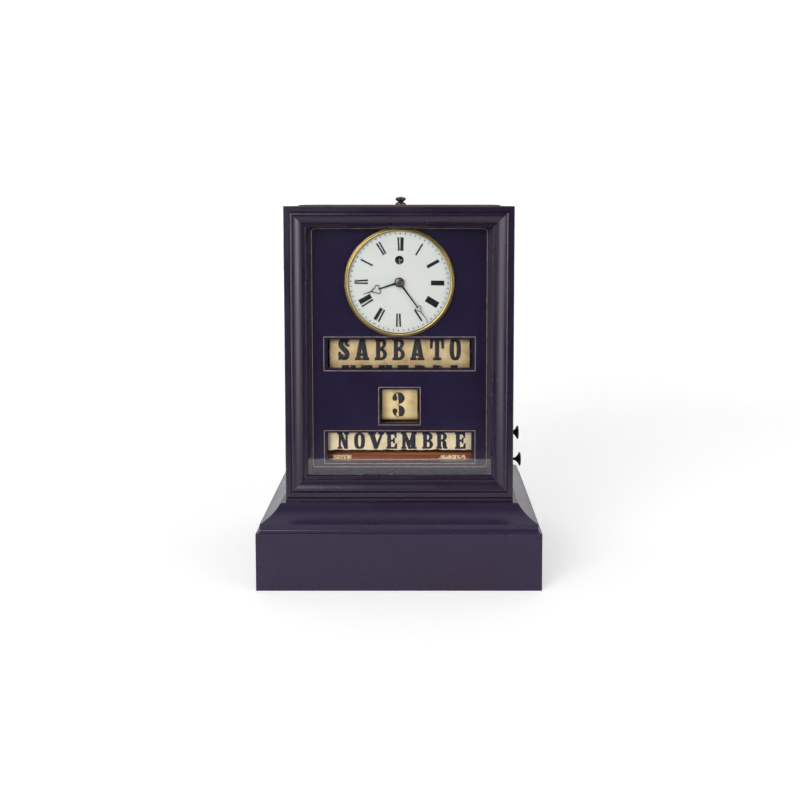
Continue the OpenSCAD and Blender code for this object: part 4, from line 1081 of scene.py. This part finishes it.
stage = {
    "frontEdge": -0.487, "wall": 0.95, "bend": 0.3, "halfWidth": 3.0, "height": 2.4,  # metres
    "white": "#e8e8e8", "glow": 0.42,
    "ambient": 0.46,
    "floorMirrored": 0.6,  # how much of the floor's glow polished surfaces mirror
    "aim": 0.17,  # height at which the lamps point
}
mirrored = {  # the room in polished surfaces: each brightness, and where it begins and is full
    "front": 0.03, "above": 1.0, "toAbove": (-0.45, -0.1),  # as Y of the direction
    "sides": 2.9, "toSides": (0.42, 0.72), "toBack": (-0.15, -0.45),  # as X without its sign, then Y
    "edge": 0.5, "toEdge": (0.7, 0.95),
}
softLamps = {  # degrees to the left of the clock's front and up, metres, watts
    "key": {"aside": 26, "up": 20, "away": 2.6, "size": 1.5, "power": 41},
    "fill": {"aside": -48, "up": 10, "away": 2.6, "size": 1.2, "power": 12},
}


def addStage():
    back = stage["wall"] - stage["bend"]
    length = back - stage["frontEdge"]
    bpy.ops.mesh.primitive_plane_add(size=1, location=(0, stage["frontEdge"] + length / 2, 0))
    floor = bpy.context.object
    floor.name = "floor"
    floor.scale = (stage["halfWidth"] * 2, length, 1)
    applyPlace(floor)
    ends = floor.data.vertices
    selectOnly(floor, floor.data.edges, lambda edge: all(ends[i].co.y > back - mm for i in edge.vertices))
    startEditing(floor)
    bpy.ops.mesh.spin(steps=16, angle=-math.pi / 2, center=(0, back, stage["bend"]), axis=(1, 0, 0))
    bpy.ops.mesh.extrude_region_move(TRANSFORM_OT_translate={"value": (0, 0, stage["height"])})
    stopEditing()
    bpy.ops.object.shade_smooth()
    material, tree = newMaterial("studio_white")
    path = addNode(tree, "LightPath").outputs
    glossy = maths(tree, "MULTIPLY", path["Is Glossy Ray"], stage["floorMirrored"])
    seen = maths(tree, "MAXIMUM", path["Is Camera Ray"], glossy)
    seen = maths(tree, "MAXIMUM", seen, path["Is Transmission Ray"])
    floor.data.materials.append(surface(
        material, Base_Color=stage["white"], Roughness=0.9, Emission_Color="#ffffff",
        Emission_Strength=maths(tree, "MULTIPLY", seen, stage["glow"])))


def addWorld():
    world = bpy.data.worlds.new("studio")
    bpy.context.scene.world = world
    world.use_nodes = True
    tree = world.node_tree
    path = addNode(tree, "LightPath").outputs
    way = separate(tree, addNode(tree, "TexCoord").outputs["Generated"])
    out = maths(tree, "ABSOLUTE", way["X"])
    ahead = spread(tree, way["Y"], *mirrored["toAbove"], mirrored["front"], mirrored["above"])
    behind = spread(tree, way["Y"], *mirrored["toBack"], 0, mirrored["sides"])
    aside = spread(tree, out, *mirrored["toSides"], 0, behind)
    edgeOn = spread(tree, out, *mirrored["toEdge"], 1, mirrored["edge"])
    lit = maths(tree, "MULTIPLY_ADD", ahead, edgeOn, aside)
    mirror = maths(tree, "MAXIMUM", path["Is Glossy Ray"], path["Is Transmission Ray"])
    base = addNode(tree, "Mix", {"Factor": path["Is Camera Ray"], "A": stage["ambient"], "B": 1.0})
    strength = addNode(tree, "Mix", {"Factor": mirror, "A": base.outputs["Result"], "B": lit})
    background = tree.nodes["Background"].inputs
    setInput(tree, background["Strength"], strength.outputs["Result"])
    setInput(tree, background["Color"], "#ffffff")


def addSoftLamp(name, values):
    aside, up = math.radians(values["aside"]), math.radians(values["up"])
    target = Vector((0, 0, stage["aim"]))
    way = Vector((-math.sin(aside) * math.cos(up), -math.cos(aside) * math.cos(up), math.sin(up)))
    bpy.ops.object.light_add(type="AREA", location=target + way * values["away"])
    lamp = bpy.context.object
    lamp.name = name
    lamp.data.shape = "DISK"
    lamp.data.size = values["size"]
    lamp.data.energy = values["power"]
    lamp.rotation_euler = (-way).to_track_quat("-Z", "Y").to_euler()


addStage()
addWorld()
for lampName, lampValues in softLamps.items():
    addSoftLamp(lampName, lampValues)
print("stage lit")
